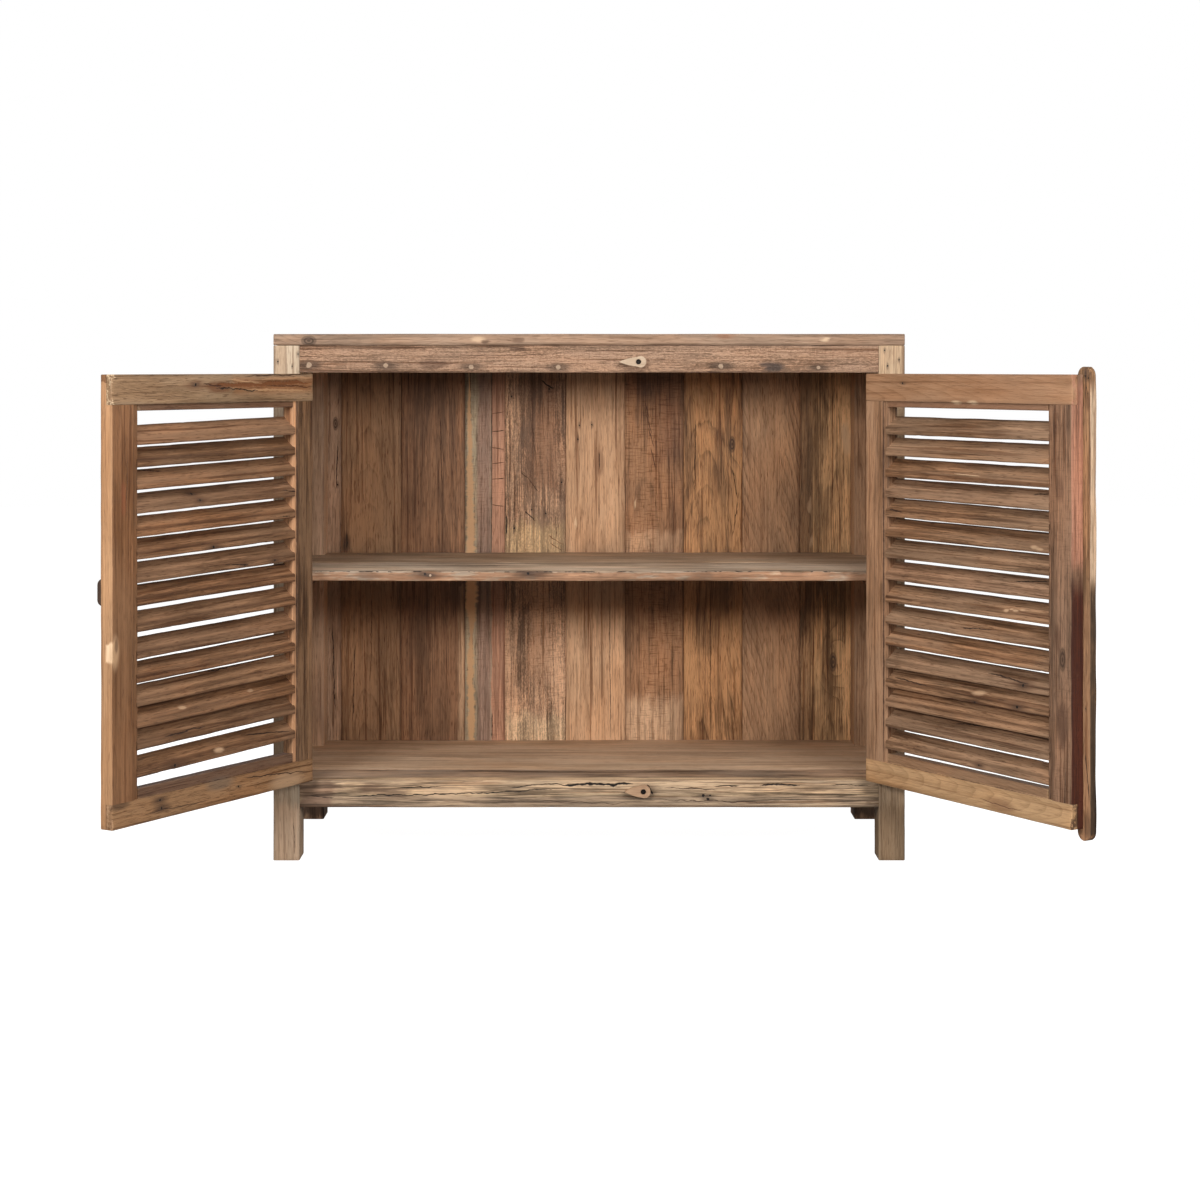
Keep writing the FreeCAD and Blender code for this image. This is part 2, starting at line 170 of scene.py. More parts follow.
def spread(value, amount):
    # noise turned into a swing about zero
    return (value - 0.5) * amount


def newGroup(name, inputs, outputs):
    # each input takes its kind from its value: a number, a vector or a colour
    tree = bpy.data.node_groups.new(name, "ShaderNodeTree")
    for label, value in inputs.items():
        kind = {3: "Vector", 4: "Color"}[len(value)] if isinstance(value, tuple) else "Float"
        socket = tree.interface.new_socket(label, in_out="INPUT", socket_type="NodeSocket" + kind)
        socket.default_value = value
    for label in outputs:
        kind = "Color" if label == "Color" else "Float"
        tree.interface.new_socket(label, in_out="OUTPUT", socket_type="NodeSocket" + kind)
    start, end = tree.nodes.new("NodeGroupInput"), tree.nodes.new("NodeGroupOutput")
    return tree, {socket.name: Wire(socket) for socket in start.outputs if socket.name}, end.inputs


def useGroup(group, grain, values):
    node = addNode(grain.tree, "ShaderNodeGroup", node_tree=group)
    for label, value in {"Grain": grain, **values}.items():
        feed(node.inputs[label], value)
    return {socket.name: Wire(socket) for socket in node.outputs}


def newMaterial(name):
    material = bpy.data.materials.new(name)
    material.use_nodes = True
    return material, material.node_tree, material.node_tree.nodes["Principled BSDF"].inputs


def addBump(shader, height, strength, distance):
    node = addNode(height.tree, "ShaderNodeBump")
    for label, value in (("Strength", strength), ("Distance", distance), ("Height", height)):
        feed(node.inputs[label], value)
    feed(shader["Normal"], Wire(node.outputs[0]))


origin3 = (0.0, 0.0, 0.0)
middle3 = (0.5, 0.5, 0.5)
brownShade = (0.5, 0.42, 0.36, 1)


def buildTeakGroup():
    # solid timber: growth rings round a pith line, fibres, pores, clouding, saw marks and greying
    tree, take, give = newGroup(
        "reclaimedTeak",
        {
            "Grain": origin3, "Arris": 0.0, "Shade": 0.0, "Warmth": 0.0,
            "Light": (0.5, 0.3, 0.2, 1), "Dark": (0.2, 0.1, 0.06, 1), "Worn": (0.4, 0.3, 0.22, 1),
            "Pith": origin3, "Ring": 0.004, "Taper": 0.02, "Wander": 0.006, "Figure": 0.5,
            "Streak": 0.5, "Cloud": 0.5, "Fibre": 0.5, "Pores": 0.5, "Rough": 0.0, "Saw": 0.0,
            "Greying": 0.2, "Rub": 0.4, "Dirt": 0.3, "Seed": 0.0, "Knot": origin3, "Knot size": 0.0,
        },
        ("Color", "Roughness", "Height"),
    )
    grain = take["Grain"]
    offset = addNode(tree, "ShaderNodeCombineXYZ")
    feed(offset.inputs[0], take["Seed"])
    feed(offset.inputs[1], take["Seed"])
    here = grain + Wire(offset.outputs[0])
    # the grain parts round the knot, so the rings are pushed outwards near it
    knotAway = ((grain - take["Knot"]) * (0.4, 1.0, 0.6)).math("LENGTH")
    knotReach = knotAway / (take["Knot size"] + 0.0001)
    push = ease(knotReach, 4.5, 0.7) * take["Knot size"] * 1.6
    sway = (noise(here, (1.7, 9, 9))[1] - middle3).scaled(take["Wander"] * 2.0)
    follow = here + sway
    # growth rings: distance from the pith line plus a taper along it, cut into thin dark lines
    along, across, through = split(grain + sway - take["Pith"])
    reach = along * take["Taper"] + (across * across + through * through).math("SQRT") + push
    uneven, unevenColor = noise(follow, (1.1, 26, 26))
    phase = uneven * 2.4 + reach / take["Ring"]
    turn = phase.math("FRACT")
    late = turn.math("POWER", 7.0) * 0.7 + turn * turn * 0.3
    late = late * ease(turn, 1.0, 0.93) * ease(split(unevenColor)[1], 0.3, 0.62, 0.25, 1.0)
    band = (phase * 1.31).math("SINE")
    fibre = noise(follow, (10, 480, 480), 4.0, 0.68)[0]
    streak = noise(follow, (1.6, 70, 70), 4.0, 0.62)[0]
    pore = noise(follow, (55, 900, 900), 1.0, 0.5)[0]
    thread = noise(follow, (3.4, 170, 170), 2.0, 0.6)[0]
    speckle = noise(follow, (210, 520, 520), 3.0, 0.7)[0]
    cloud, cloudColor = noise(here, (5, 15, 15), 4.0, 0.6)
    sawPatch, warmPatch, greyPatch = split(cloudColor)
    # light and dark of the bare timber
    tone = spread(streak, take["Streak"] * 1.8) + 0.5
    tone = tone + spread(cloud, take["Cloud"] * 2.7)
    tone = tone + spread(fibre, take["Fibre"] * 2.3)
    tone = tone + spread(speckle, take["Rough"] * 2.2)
    tone = tone + (band * 0.1 + 0.12 - late) * take["Figure"]
    tone = tone + ease(thread, 0.42, 0.3) * take["Fibre"] * 0.3
    tone = tone.math("ADD", take["Shade"], clamp=True)
    color = mixColor(tone, take["Dark"], take["Light"])
    color = mixColor(ease(warmPatch, 0.36, 0.66) * 0.45, color, (1.12, 0.94, 0.78, 1), "MULTIPLY")
    color = mixColor(take["Warmth"].math("MAXIMUM", 0.0), color, (1.16, 0.92, 0.7, 1), "MULTIPLY")
    cold = (take["Warmth"] * -1.0).math("MAXIMUM", 0.0)
    color = mixColor(cold, color, (0.86, 0.88, 1.02, 1), "MULTIPLY")
    # greyed, weathered patches
    grey = ease(streak * 0.5 + greyPatch, 0.66, 0.86) * take["Greying"]
    color = mixColor(grey, color, take["Worn"])
    # saw marks run across the board in patches, unevenly spaced; pores and dark threads along it
    cut = noise(follow + (0.3, 0.2, 0.1), (480, 48, 48), 2.0, 0.6)[0]
    cutMask = ease(cut, 0.52, 0.68) * ease(sawPatch, 0.4, 0.58) * take["Saw"]
    poreMask = ease(pore, 0.58, 0.68) * take["Pores"]
    color = mixColor(cutMask * 0.7, color, brownShade, "MULTIPLY")
    color = mixColor(poreMask * 0.75, color, (0.4, 0.32, 0.26, 1), "MULTIPLY")
    color = mixColor(ease(thread, 0.56, 0.68) * take["Fibre"] * 0.75, color, brownShade, "MULTIPLY")
    # rubbed and dirty arrises
    rub = take["Arris"] * ease(streak, 0.4, 0.58) * take["Rub"]
    color = mixColor(rub, color, take["Worn"])
    dirt = take["Arris"] * ease(streak, 0.62, 0.4, 0.4, 1.0) * take["Dirt"]
    color = mixColor(dirt, color, (0.3, 0.25, 0.22, 1), "MULTIPLY")
    # the knot itself
    core = ease(knotReach, 1.1, 0.72) * ((knotReach * 15.0).math("SINE") * 0.2 + 0.72)
    color = mixColor(core, color, (0.04, 0.021, 0.012, 1))
    feed(give["Color"], color)
    feed(give["Roughness"], grey * 0.22 + (tone * 0.12 + 0.52))
    height = fibre * 0.7 - late * 0.35 - poreMask * 0.6 - cutMask * 0.7 - core * 0.5
    feed(give["Height"], height + speckle * take["Rough"] * 1.3)
    return tree


def buildSpotGroup():
    # round mark such as a nail head or borer hole, with a stain drawn out along the grain
    inputs = {"Grain": origin3, "Centre": origin3, "Radius": 0.002}
    tree, take, give = newGroup("spotMark", inputs, ("Mask", "Stain"))
    away = take["Grain"] - take["Centre"]
    feed(give["Mask"], ease(away.math("LENGTH") / take["Radius"], 1.15, 0.75))
    drawn = (away * (0.35, 1, 1)).math("LENGTH")
    feed(give["Stain"], ease(drawn / take["Radius"], 2.4, 0.8))
    return tree


def buildLineGroup():
    # crack, scratch or splinter: distance from a line between two points, thinning at both ends
    inputs = {
        "Grain": origin3, "From": origin3, "To": (0.1, 0.0, 0.0),
        "Width": 0.001, "Wander": 0.002, "Thin": 0.0,
    }
    tree, take, give = newGroup("lineMark", inputs, ("Mask",))
    wobble = noise(take["Grain"], (30, 30, 30), 3.0, 0.65)[1] - middle3
    swing = wobble.scaled(take["Wander"] * 4.0) * (1, 1, 0)
    away = take["Grain"] + swing - take["From"]
    run = take["To"] - take["From"]
    square = run.math("DOT_PRODUCT", run).math("MAXIMUM", 1e-9)
    share = away.math("DOT_PRODUCT", run).math("DIVIDE", square, clamp=True)
    gap = (away - run.scaled(share)).math("LENGTH")
    taper = ease(share, 0.0, 0.15, 0.15, 1.0) * ease(share, 1.0, 0.8, 0.1, 1.0)
    thin = share * take["Thin"] * -1.0 + 1.0
    ragged = noise(take["Grain"], (160, 60, 60))[0] * 1.6 + 0.1
    wide = take["Width"] * taper * thin * ragged
    feed(give["Mask"], ease(gap, wide + 0.0003, wide * 0.4))
    return tree


def buildTintGroup():
    # soft-edged block of space: how far a point lies outside the block on its worst side
    inputs = {"Grain": origin3, "Centre": origin3, "Half": (0.1, 0.1, 0.1), "Soft": (0.01, 0.01, 0.01)}
    tree, take, give = newGroup("tintBlock", inputs, ("Mask",))
    away = (take["Grain"] - take["Centre"]).math("ABSOLUTE")
    along, across, through = split((away - take["Half"]) / take["Soft"])
    feed(give["Mask"], ease(along.math("MAXIMUM", across.math("MAXIMUM", through)), 1.0, -1.0))
    return tree


teakGroup = buildTeakGroup()
spotGroup = buildSpotGroup()
lineGroup = buildLineGroup()
tintGroup = buildTintGroup()
print("node groups built")

# a timber's look before its own dictionary changes it; lengths in mm
plainTeak = {
    "tone": (146, 110, 82),
    "contrast": 0.42,              # swing between its light and dark wood
    "pith": (0, 20, -60),          # from the board's start: along, across, through
    "ring": 5.0,
    "taper": 0.03,
    "wander": 6,
    "figure": 0.6,
    "streak": 1.0,
    "cloud": 1.0,
    "fibre": 1.0,
    "pores": 0.7,
    "rough": 0.0,
    "saw": 0.0,
    "greying": 0.3,
    "rub": 0.4,
    "dirt": 0.3,
    "seed": 0.0,
    "knot": None,                  # point and radius
    "bump": 0.5,
    "loose": 5,                    # how ragged the edges of tints are
    "lift": 0.4,                   # share of it through the board
    "face": ("y", 0.0),            # the plane on which marks with two coordinates lie
    "cast": None,                  # (tone, strength) over the whole timber
    "tints": (),                   # (corner, corner, softness, tone, strength)
    "blots": (),                   # (point, radius, tone, strength): drawn out along the grain
    "nails": (),                   # (point, radius): dark, sunk
    "plugs": (),                   # (point, radius): light core in a dark ring
    "lines": (),                   # (from, to, width, wander, tone), then how much it thins
}
tintReach = 60                     # how far a tint with flat corners goes either side of its plane


def onFace(face, point, lift=0):
    # two coordinates become three on the named plane
    point = np.array(point, float)
    return point if len(point) == 3 else np.insert(point, "xyz".index(face[0]), face[1] + lift)


def toned(color, tint, tone):
    # the tint keeps most of the timber's own light and dark
    change = (*(np.array(linear(tint)[:3]) / tone), 1)
    return mixColor(0.25, mixColor(1.0, color, change, "MULTIPLY"), linear(tint))


def teakMaterial(node, look, toBoard):
    s = {**plainTeak, **look}
    face = s["face"]
    material, tree, shader = newMaterial(node + "_wood")
    feed(shader["Specular IOR Level"], 0.3)

    def layer(label, output):
        return Wire(addNode(tree, "ShaderNodeAttribute", attribute_name=label).outputs[output])

    def placed(point):
        return toBoard(onFace(face, point)) * mm

    grain = layer("grain", "Vector")
    tone = np.array(linear(s["tone"]))[:3]
    values = {
        "Light": (*(tone * (1 + s["contrast"]) * (0.99, 1.0, 1.03)), 1),
        "Dark": (*(tone * (1 - s["contrast"]) * (1.03, 0.98, 0.93)), 1),
        "Worn": (*(tone * 1.12 * (0.97, 1.03, 1.12)), 1),
        "Pith": [v * mm for v in s["pith"]],
    }
    if s["knot"]:
        values["Knot"] = placed(s["knot"][0])
        values["Knot size"] = s["knot"][1] * mm
    for key in ("arris", "shade", "warmth"):
        values[key.capitalize()] = layer(key, "Fac")
    for key in ("ring", "wander"):
        values[key.capitalize()] = s[key] * mm
    for key in "taper figure streak cloud fibre pores rough saw greying rub dirt seed".split():
        values[key.capitalize()] = s[key]
    timber = useGroup(teakGroup, grain, values)
    color, height = timber["Color"], timber["Height"]
    swing = noise(grain, (16, 60, 60), 4.0, 0.65)[1] - middle3
    loose = grain + swing * tuple(s["loose"] * mm * k for k in (12, 2.4, s["lift"]))
    close = grain + swing * (0.008, 0.006, 0)
    if s["cast"]:
        color = mixColor(s["cast"][1], color, toned(color, s["cast"][0], tone))
    for first, second, soft, tint, strength in s["tints"]:
        p, q = toBoard(onFace(face, first, -tintReach)), toBoard(onFace(face, second, tintReach))
        soft = np.array(soft if isinstance(soft, tuple) else (soft,) * 3, float)
        soft = np.abs(toBoard(soft) - toBoard(np.zeros(3)))
        size = {"Centre": (p + q) / 2 * mm, "Half": np.abs(p - q) / 2 * mm, "Soft": soft * mm}
        mask = useGroup(tintGroup, loose, size)["Mask"]
        color = mixColor(mask * strength, color, toned(color, tint, tone))
    for point, radius, tint, strength in s["blots"]:
        spot = useGroup(spotGroup, loose, {"Centre": placed(point), "Radius": radius * mm})
        color = mixColor(spot["Stain"] * strength, color, linear(tint))
    for kind, stain, core in (("nails", 0.5, black), ("plugs", 0.65, (170, 144, 120))):
        for point, radius in s[kind]:
            spot = useGroup(spotGroup, close, {"Centre": placed(point), "Radius": radius * mm})
            color = mixColor(spot["Stain"] * stain, color, (0.05, 0.03, 0.02, 1))
            color = mixColor(spot["Mask"], color, linear(core))
            if kind == "nails":
                height = height - spot["Mask"]
    for first, second, width, wander, tint, *thin in s["lines"]:
        run = {"From": placed(first), "To": placed(second), "Width": width * mm, "Wander": wander * mm}
        mask = useGroup(lineGroup, grain, {**run, "Thin": thin[0] if thin else 0.0})["Mask"]
        color = mixColor(mask, color, linear(tint))
        # dark lines are cracks and sink in, light ones are splinters and stand up
        height = height + mask * (-2.0 if sum(tint) < 240 else 0.6)
    feed(shader["Base Color"], color)
    feed(shader["Roughness"], timber["Roughness"])
    addBump(shader, height, s["bump"], 0.0014)
    return material


def makePiece(node, body, points, faces, layers, material):
    # the visible piece for a CAD node, built from whole arrays, with doubles merged
    mesh = bpy.data.meshes.new(node + "_timber")
    if body == "right_door":
        # it is drawn as a mirror image
        faces = [face[::-1] for face in faces]
    mesh.from_pydata(points.reshape(-1, 3).tolist(), [], faces)
    for label, data in layers.items():
        kind, field = ("FLOAT_VECTOR", "vector") if label == "grain" else ("FLOAT", "value")
        layer = mesh.attributes.new(label, kind, "POINT")
        layer.data.foreach_set(field, np.ravel(data).astype(np.float32))
    tool = bmesh.new()
    tool.from_mesh(mesh)
    bmesh.ops.remove_doubles(tool, verts=tool.verts, dist=0.002 * mm)
    tool.to_mesh(mesh)
    tool.free()
    mesh.shade_smooth()
    mesh.set_sharp_from_angle(angle=math.radians(40))
    mesh.materials.append(material)
    piece = addObject(node + "_timber", mesh)
    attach(piece, body)
    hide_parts(node)


def tubeFaces(stations, around, base=0):
    # quads between neighbouring rings of one tube, and a flat cap at each end
    i, j = np.meshgrid(np.arange(stations - 1), np.arange(around), indexing="ij")
    k = (j + 1) % around
    quads = np.stack([i * around + j, i * around + k, (i + 1) * around + k, (i + 1) * around + j], -1)
    faces = (quads.reshape(-1, 4) + base).tolist()
    faces.append((np.arange(around)[::-1] + base).tolist())
    faces.append((np.arange(around) + (stations - 1) * around + base).tolist())
    return faces


def sectionRing(corners, radii, arcSteps, gap):
    # rounded outline for every station. A corner between directions d1 and d2 that turns by phi
    # becomes an arc of radius r: it starts r*tan(phi/2) before the corner, and its centre lies r
    # to the inside. Flats are divided evenly, with points a few mm from the arcs.
    corners = np.array(corners, float)
    count = len(corners)
    after = np.roll(corners, -1, 0) - corners
    heading = after / np.linalg.norm(after, axis=1)[:, None]
    arcs = []
    for k in range(count):
        d1, d2 = heading[k - 1], heading[k]
        phi = math.atan2(d1[0] * d2[1] - d1[1] * d2[0], float(d1 @ d2))
        n1 = np.array([-d1[1], d1[0]])
        r = radii[:, k, None, None] * math.copysign(1, phi)
        theta = np.linspace(0, phi, arcSteps)[None, :, None]
        centre = corners[k] - d1 * r * math.tan(phi / 2) + n1 * r
        arcs.append(centre - r * n1 * np.cos(theta) + r * d1 * np.sin(theta))
    rings = []
    edge = []
    for k in range(count):
        rings.append(arcs[k])
        edge.append(np.ones(arcSteps))
        length = np.linalg.norm(after[k])
        margin = min(0.004, length * 0.35)
        steps = max(1, int(round((length - 2 * margin) / gap)))
        # a narrow flat has one point, in its middle
        share = np.array([0.5])
        if length > 0.009:
            share = np.linspace(margin, length - margin, steps + 1) / length
        start = arcs[k][:, -1:, :]
        end = arcs[(k + 1) % count][:, :1, :]
        rings.append(start + (end - start) * share[None, :, None])
        edge.append(np.zeros(len(share)))
    return np.concatenate(rings, 1), np.concatenate(edge)


# a carried section's settings before a piece changes them, in metres
plainShape = {
    "step": 0.008,                 # between stations
    "stations": None,
    "sharpEnds": False,
    "endEase": 0.0009,
    "zones": None,                 # (start, end, limits of b and c)
    "wear": None,                  # radius of each corner
    "wearSwing": 0.45,
    "chipped": None,               # how much a chip adds to each corner's radius
    "chipWave": 0.16,
    "chipLevel": 0.75,
    "radiusLimit": 0.009,
    "arcSteps": 4,
    "gap": 0.012,                  # between points of the outline
    "swell": 0.00035,
    "swellWave": 0.3,
    "reshape": None,
}


def carryTimber(shape):
    # a section carried along a straight board: stations along a, outline in b and c. The outline's
    # corners are rounded by radii that wander along the board and grow where the edge is chipped,
    # faces swell and dip by a slow ripple, and each zone may hold the outline within limits of b and c
    s = {**plainShape, **shape}
    length, seed, count = s["length"], s["seed"], len(s["corners"])
    zones = s["zones"] or [(0.0, length, None)]
    runs = [np.linspace(z0, z1, max(2, int(round((z1 - z0) / s["step"])) + 1)) for z0, z1, _ in zones]
    if s["stations"] is not None:
        runs = [s["stations"]]
    elif not s["sharpEnds"]:
        runs[0] = np.concatenate([[0.0, 0.0003, 0.0012], runs[0][1:]])
        runs[-1] = np.concatenate([runs[-1][:-1], [length - 0.0012, length - 0.0003, length]])
    a = np.concatenate(runs)
    wear, chipped = s["wear"] or [0.0012] * count, s["chipped"] or [0.0] * count
    radii = [
        wear[k] * (1 + s["wearSwing"] * ripple(seed + 11 * k, [(a, 0.09)]))
        + chipped[k] * chips(seed + 11 * k + 5, a, s["chipWave"], s["chipLevel"])
        for k in range(count)
    ]
    radii = np.clip(np.stack(radii, 1), 0.0003, s["radiusLimit"])
    ring, edge = sectionRing(s["corners"], radii, s["arcSteps"], s["gap"])
    b, c = ring[..., 0], ring[..., 1]
    aGrid = np.broadcast_to(a[:, None], b.shape)
    waves = [(aGrid, s["swellWave"]), (b, s["swellWave"] * 0.3)]
    c = c + s["swell"] * ripple(seed + 101, waves) * np.sign(c)
    if s["reshape"]:
        b, c = s["reshape"](aGrid, b, c)
    b, c = b.copy(), c.copy()
    row = 0
    for (z0, z1, hold), run in zip(zones, runs):
        rows = slice(row, row + len(run))
        row += len(run)
        if hold:
            b[rows] = np.clip(b[rows], hold[0], hold[1])
            c[rows] = np.clip(c[rows], hold[2], hold[3])
    if not s["sharpEnds"]:
        inset = np.zeros((len(a), 1))
        inset[[0, -1]] = s["endEase"]
        inset[[1, -2]] = s["endEase"] / 3
        b, c = (
            centre + (v - centre) * (1 - 2 * inset / np.ptp(v, axis=1)[:, None])
            for v in (b, c)
            for centre in [(v.max(1, keepdims=True) + v.min(1, keepdims=True)) / 2]
        )
    return np.stack([aGrid, b, c], -1), np.broadcast_to(edge, b.shape), tubeFaces(*b.shape)


def rectangle(width, thick):
    w, t = width / 2, thick / 2
    return [(-w, -t), (w, -t), (w, t), (-w, t)]


def boardFrame(low, high, along, facing):
    # local axes of a board in a box: a along it, c out of its shown face, b completing them
    axisA, axisC = np.array(along, float), np.array(facing, float)
    axisB = np.cross(axisC, axisA)
    low, high = np.array(low), np.array(high)
    size = high - low
    length, width, thick = (float(abs(size @ axis)) for axis in (axisA, axisB, axisC))
    origin = (low + high) / 2 - axisA * length / 2
    return origin, (axisA, axisB, axisC), (length, width, thick)


def place(local, origin, axes):
    return origin + local[..., 0:1] * axes[0] + local[..., 1:2] * axes[1] + local[..., 2:3] * axes[2]


def boardMap(origin, axes):
    # point in mm in the cabinet's frame to the board's along, across and through
    return lambda point: np.array([(np.array(point, float) - origin / mm) @ axis for axis in axes])


def makeTimber(node, body, origin, axes, look, shape, space=None):
    # one straight timber, a door's in the space of the shut door
    local, edge, faces = carryTimber(shape)
    still = np.zeros(edge.shape)
    layers = {"grain": local, "arris": edge, "shade": still, "warmth": still}
    points = place(local, origin, axes)
    if space:
        points = toWorld(points, space)
    material = teakMaterial(node, look, boardMap(origin, axes))
    makePiece(node, body, points, faces, layers, material)


def layBoard(node, along, facing, look, **shape):
    # one board of the carcass in the box of its CAD node
    origin, axes, (length, width, thick) = boardFrame(*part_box(node), along, facing)
    board = {"length": length, "corners": rectangle(width, thick), "seed": sum(map(ord, node))}
    makeTimber(node, "carcass", origin, axes, look, {**board, **shape})


# tones are mid colours
backPlanks = {
    "back_plank_01": {
        "tone": (184, 147, 117), "contrast": 0.42, "seed": 1.3, "greying": 0.5, "cloud": 1.4,
        "knot": ((-445, 682), 5), "nails": [((-441, 575), 1.6)],
        "lines": [((-441, 650), (-444, 560), 0.8, 2, black), ((-450, 330), (-446, 180), 0.9, 2, black)],
    },
    "back_plank_02": {
        "tone": (167, 127, 92), "contrast": 0.4, "seed": 2.1, "pith": (0, 8, -40), "taper": 0.09,
        "figure": 0.7, "ring": 6.0, "streak": 0.7,
        "lines": [
            ((-425, 488), (-425, 462), 0.9, 1, black), ((-411, 302), (-414, 160), 0.8, 1.5, black),
            ((-381, 390), (-383, 230), 0.6, 2, (70, 46, 30)),
        ],
        "blots": [((-425, 476), 4, (44, 28, 20), 0.7)],
    },
    "back_plank_03": {
        "tone": (142, 103, 73), "contrast": 0.48, "seed": 3.7, "pith": (0, -12, -30), "taper": 0.05,
        "ring": 4.6, "tints": [((-229, 84), (-219, 400), 3, (196, 158, 122), 0.8)],
        "lines": [
            ((-342, 390), (-342, 136), 0.5, 1, black), ((-262, 700), (-258, 560), 0.5, 2, (60, 38, 26)),
        ],
    },
    "back_plank_04": {
        "tone": (157, 139, 112), "contrast": 0.5, "seed": 4.2, "saw": 0.6, "streak": 1.2,
        "tints": [
            ((-171, 84), (-140, 810), 1.2, (186, 134, 104), 0.9),
            ((-196, 84), (-172, 810), 4, (150, 116, 98), 0.8),
        ],
        "lines": [
            ((-206, 300), (-211, 800), 17, 1, (198, 154, 112), 0.9),
            ((-206, 60), (-208, 330), 8, 3, (200, 156, 112)),
            ((-171, 800), (-171, 445), 0.5, 0.5, black), ((-170, 174), (-170, 127), 0.9, 1.5, black),
            ((-171, 668), (-149, 670), 0.7, 1, black), ((-171, 640), (-149, 637), 0.6, 1, (70, 44, 34)),
            ((-171, 612), (-149, 614), 0.6, 1, (70, 44, 34)), ((-171, 585), (-149, 586), 0.7, 1, black),
            ((-171, 540), (-149, 537), 0.6, 1, (70, 44, 34)),
            ((-171, 700), (-149, 703), 0.5, 1, (80, 50, 38)),
        ],
    },
    "back_plank_05": {
        "tone": (186, 146, 113), "contrast": 0.7, "seed": 5.9, "saw": 0.8, "cloud": 1.4, "rough": 1.0,
        "nails": [
            ((-136, 730), 1.5), ((-70, 743), 1.5), ((-132, 499), 1.7), ((-48, 580), 1.5),
            ((-100, 530), 1.3), ((-76, 525), 1.3),
        ],
        "tints": [
            ((-148, 84), (-41, 172), 14, (212, 180, 142), 0.8),
            ((-148, 445), (-41, 506), 14, (208, 172, 126), 0.8),
            ((-118, 560), (-44, 810), 22, (120, 84, 60), 0.75),
            ((-140, 220), (-70, 330), 24, (130, 96, 70), 0.6),
        ],
        "lines": [
            ((-145, 522), (-145, 487), 1.6, 1, black), ((-100, 690), (-92, 600), 0.5, 3, (74, 50, 36)),
            ((-84, 760), (-62, 742), 1.2, 3, black), ((-118, 600), (-90, 560), 0.6, 4, (60, 40, 28)),
            ((-140, 700), (-139, 560), 0.5, 1, (64, 44, 32)),
            ((-66, 470), (-48, 458), 1.0, 4, (110, 70, 44)),
            ((-70, 484), (-46, 470), 0.8, 4, (120, 76, 48)),
            ((-112, 528), (-96, 512), 0.9, 4, (52, 34, 26)),
            ((-60, 520), (-56, 480), 0.5, 2, (80, 52, 36)),
        ],
    },
    "back_plank_06": {
        "tone": (198, 157, 120), "contrast": 0.3, "seed": 6.4, "figure": 0.5, "pores": 0.8,
        "nails": [((-17, 680), 1.3), ((5, 680), 1.3), ((-20, 655), 1.5)],
        "blots": [((-24, 508), 1.8, (236, 200, 160), 0.6), ((18, 616), 5, (120, 80, 54), 0.5)],
        "lines": [((18, 632), (18, 601), 0.9, 1, (64, 42, 30)), ((36, 373), (38, 130), 0.5, 1, black)],
    },
    "back_plank_07": {
        "tone": (151, 110, 77), "contrast": 0.52, "seed": 7.7, "saw": 1.0, "cloud": 1.1,
        "blots": [((82, 539), 1.5, (214, 176, 136), 0.7)],
        "tints": [
            ((63, 84), (166, 200), 18, (206, 168, 132), 0.75),
            ((120, 620), (166, 810), 22, (104, 70, 50), 0.65),
            ((63, 455), (166, 492), 9, (196, 156, 120), 0.6),
            ((63, 730), (120, 810), 18, (104, 68, 48), 0.5),
        ],
        "lines": [
            ((98, 723), (106, 690), 0.8, 0.5, (84, 54, 40)),
            ((100, 700), (110, 664), 0.8, 0.5, (84, 54, 40)),
            ((104, 676), (114, 640), 0.8, 0.5, (84, 54, 40)),
            ((108, 640), (117, 601), 0.8, 0.5, (84, 54, 40)),
        ],
    },
    "back_plank_08": {
        "tone": (170, 124, 82), "contrast": 0.56, "seed": 8.3, "pith": (0, 22, -34), "taper": 0.12,
        "figure": 0.9, "ring": 9.0, "streak": 0.8, "wander": 22, "cloud": 1.3, "knot": ((251, 646), 6),
        "lines": [
            ((186, 697), (186, 548), 0.7, 2, black), ((252, 601), (261, 548), 0.7, 2, black),
            ((261, 548), (251, 478), 0.7, 2, black), ((213, 390), (213, 130), 0.5, 1, black),
        ],
    },
    "back_plank_09": {
        "tone": (179, 138, 102), "contrast": 0.5, "seed": 9.1, "pith": (0, -90, -14), "taper": -0.26,
        "figure": 0.95, "ring": 8.5, "streak": 0.4, "fibre": 0.7, "wander": 14,
    },
    "back_plank_10": {
        "tone": (189, 147, 103), "contrast": 0.62, "seed": 10.6, "cloud": 1.4,
        "blots": [
            ((452, 657), 5, (196, 160, 124), 0.7), ((446, 664), 3, (196, 160, 124), 0.7),
            ((387, 539), 2, (190, 152, 116), 0.7), ((390, 480), 1.6, (190, 152, 116), 0.7),
        ],
        "tints": [
            ((366, 440), (390, 810), (6, 6, 20), (92, 64, 46), 0.6),
            ((366, 90), (388, 430), (8, 6, 30), (104, 74, 54), 0.4),
        ],
        "knot": ((428, 264), 7), "lines": [((370, 390), (370, 136), 0.5, 1, black)],
    },
}
for node, look in backPlanks.items():
    # painted shade: the planks' inner faces are darkened under the top boards and under the shelf, where the
    # top rail and the shelf cast their shadow
    paintedShade = tuple(0.6 * v for v in look["tone"])
    corners = [
        ((-520, 300, 750), (520, 395, 900), (1, 1, 60), paintedShade, 0.85),
        ((-520, 300, 348), (520, 395, 450), (1, 1, 34), paintedShade, 0.7),
    ]
    look = {"face": ("y", 388), "rub": 0.0, "dirt": 0.6, "fibre": 1.3, "pores": 1.0, **look}
    look["tints"] = [*look.get("tints", ()), *corners]
    layBoard(node, up, front, look, wear=[0.0012] * 4, swell=0.0003)
print("back planks laid")

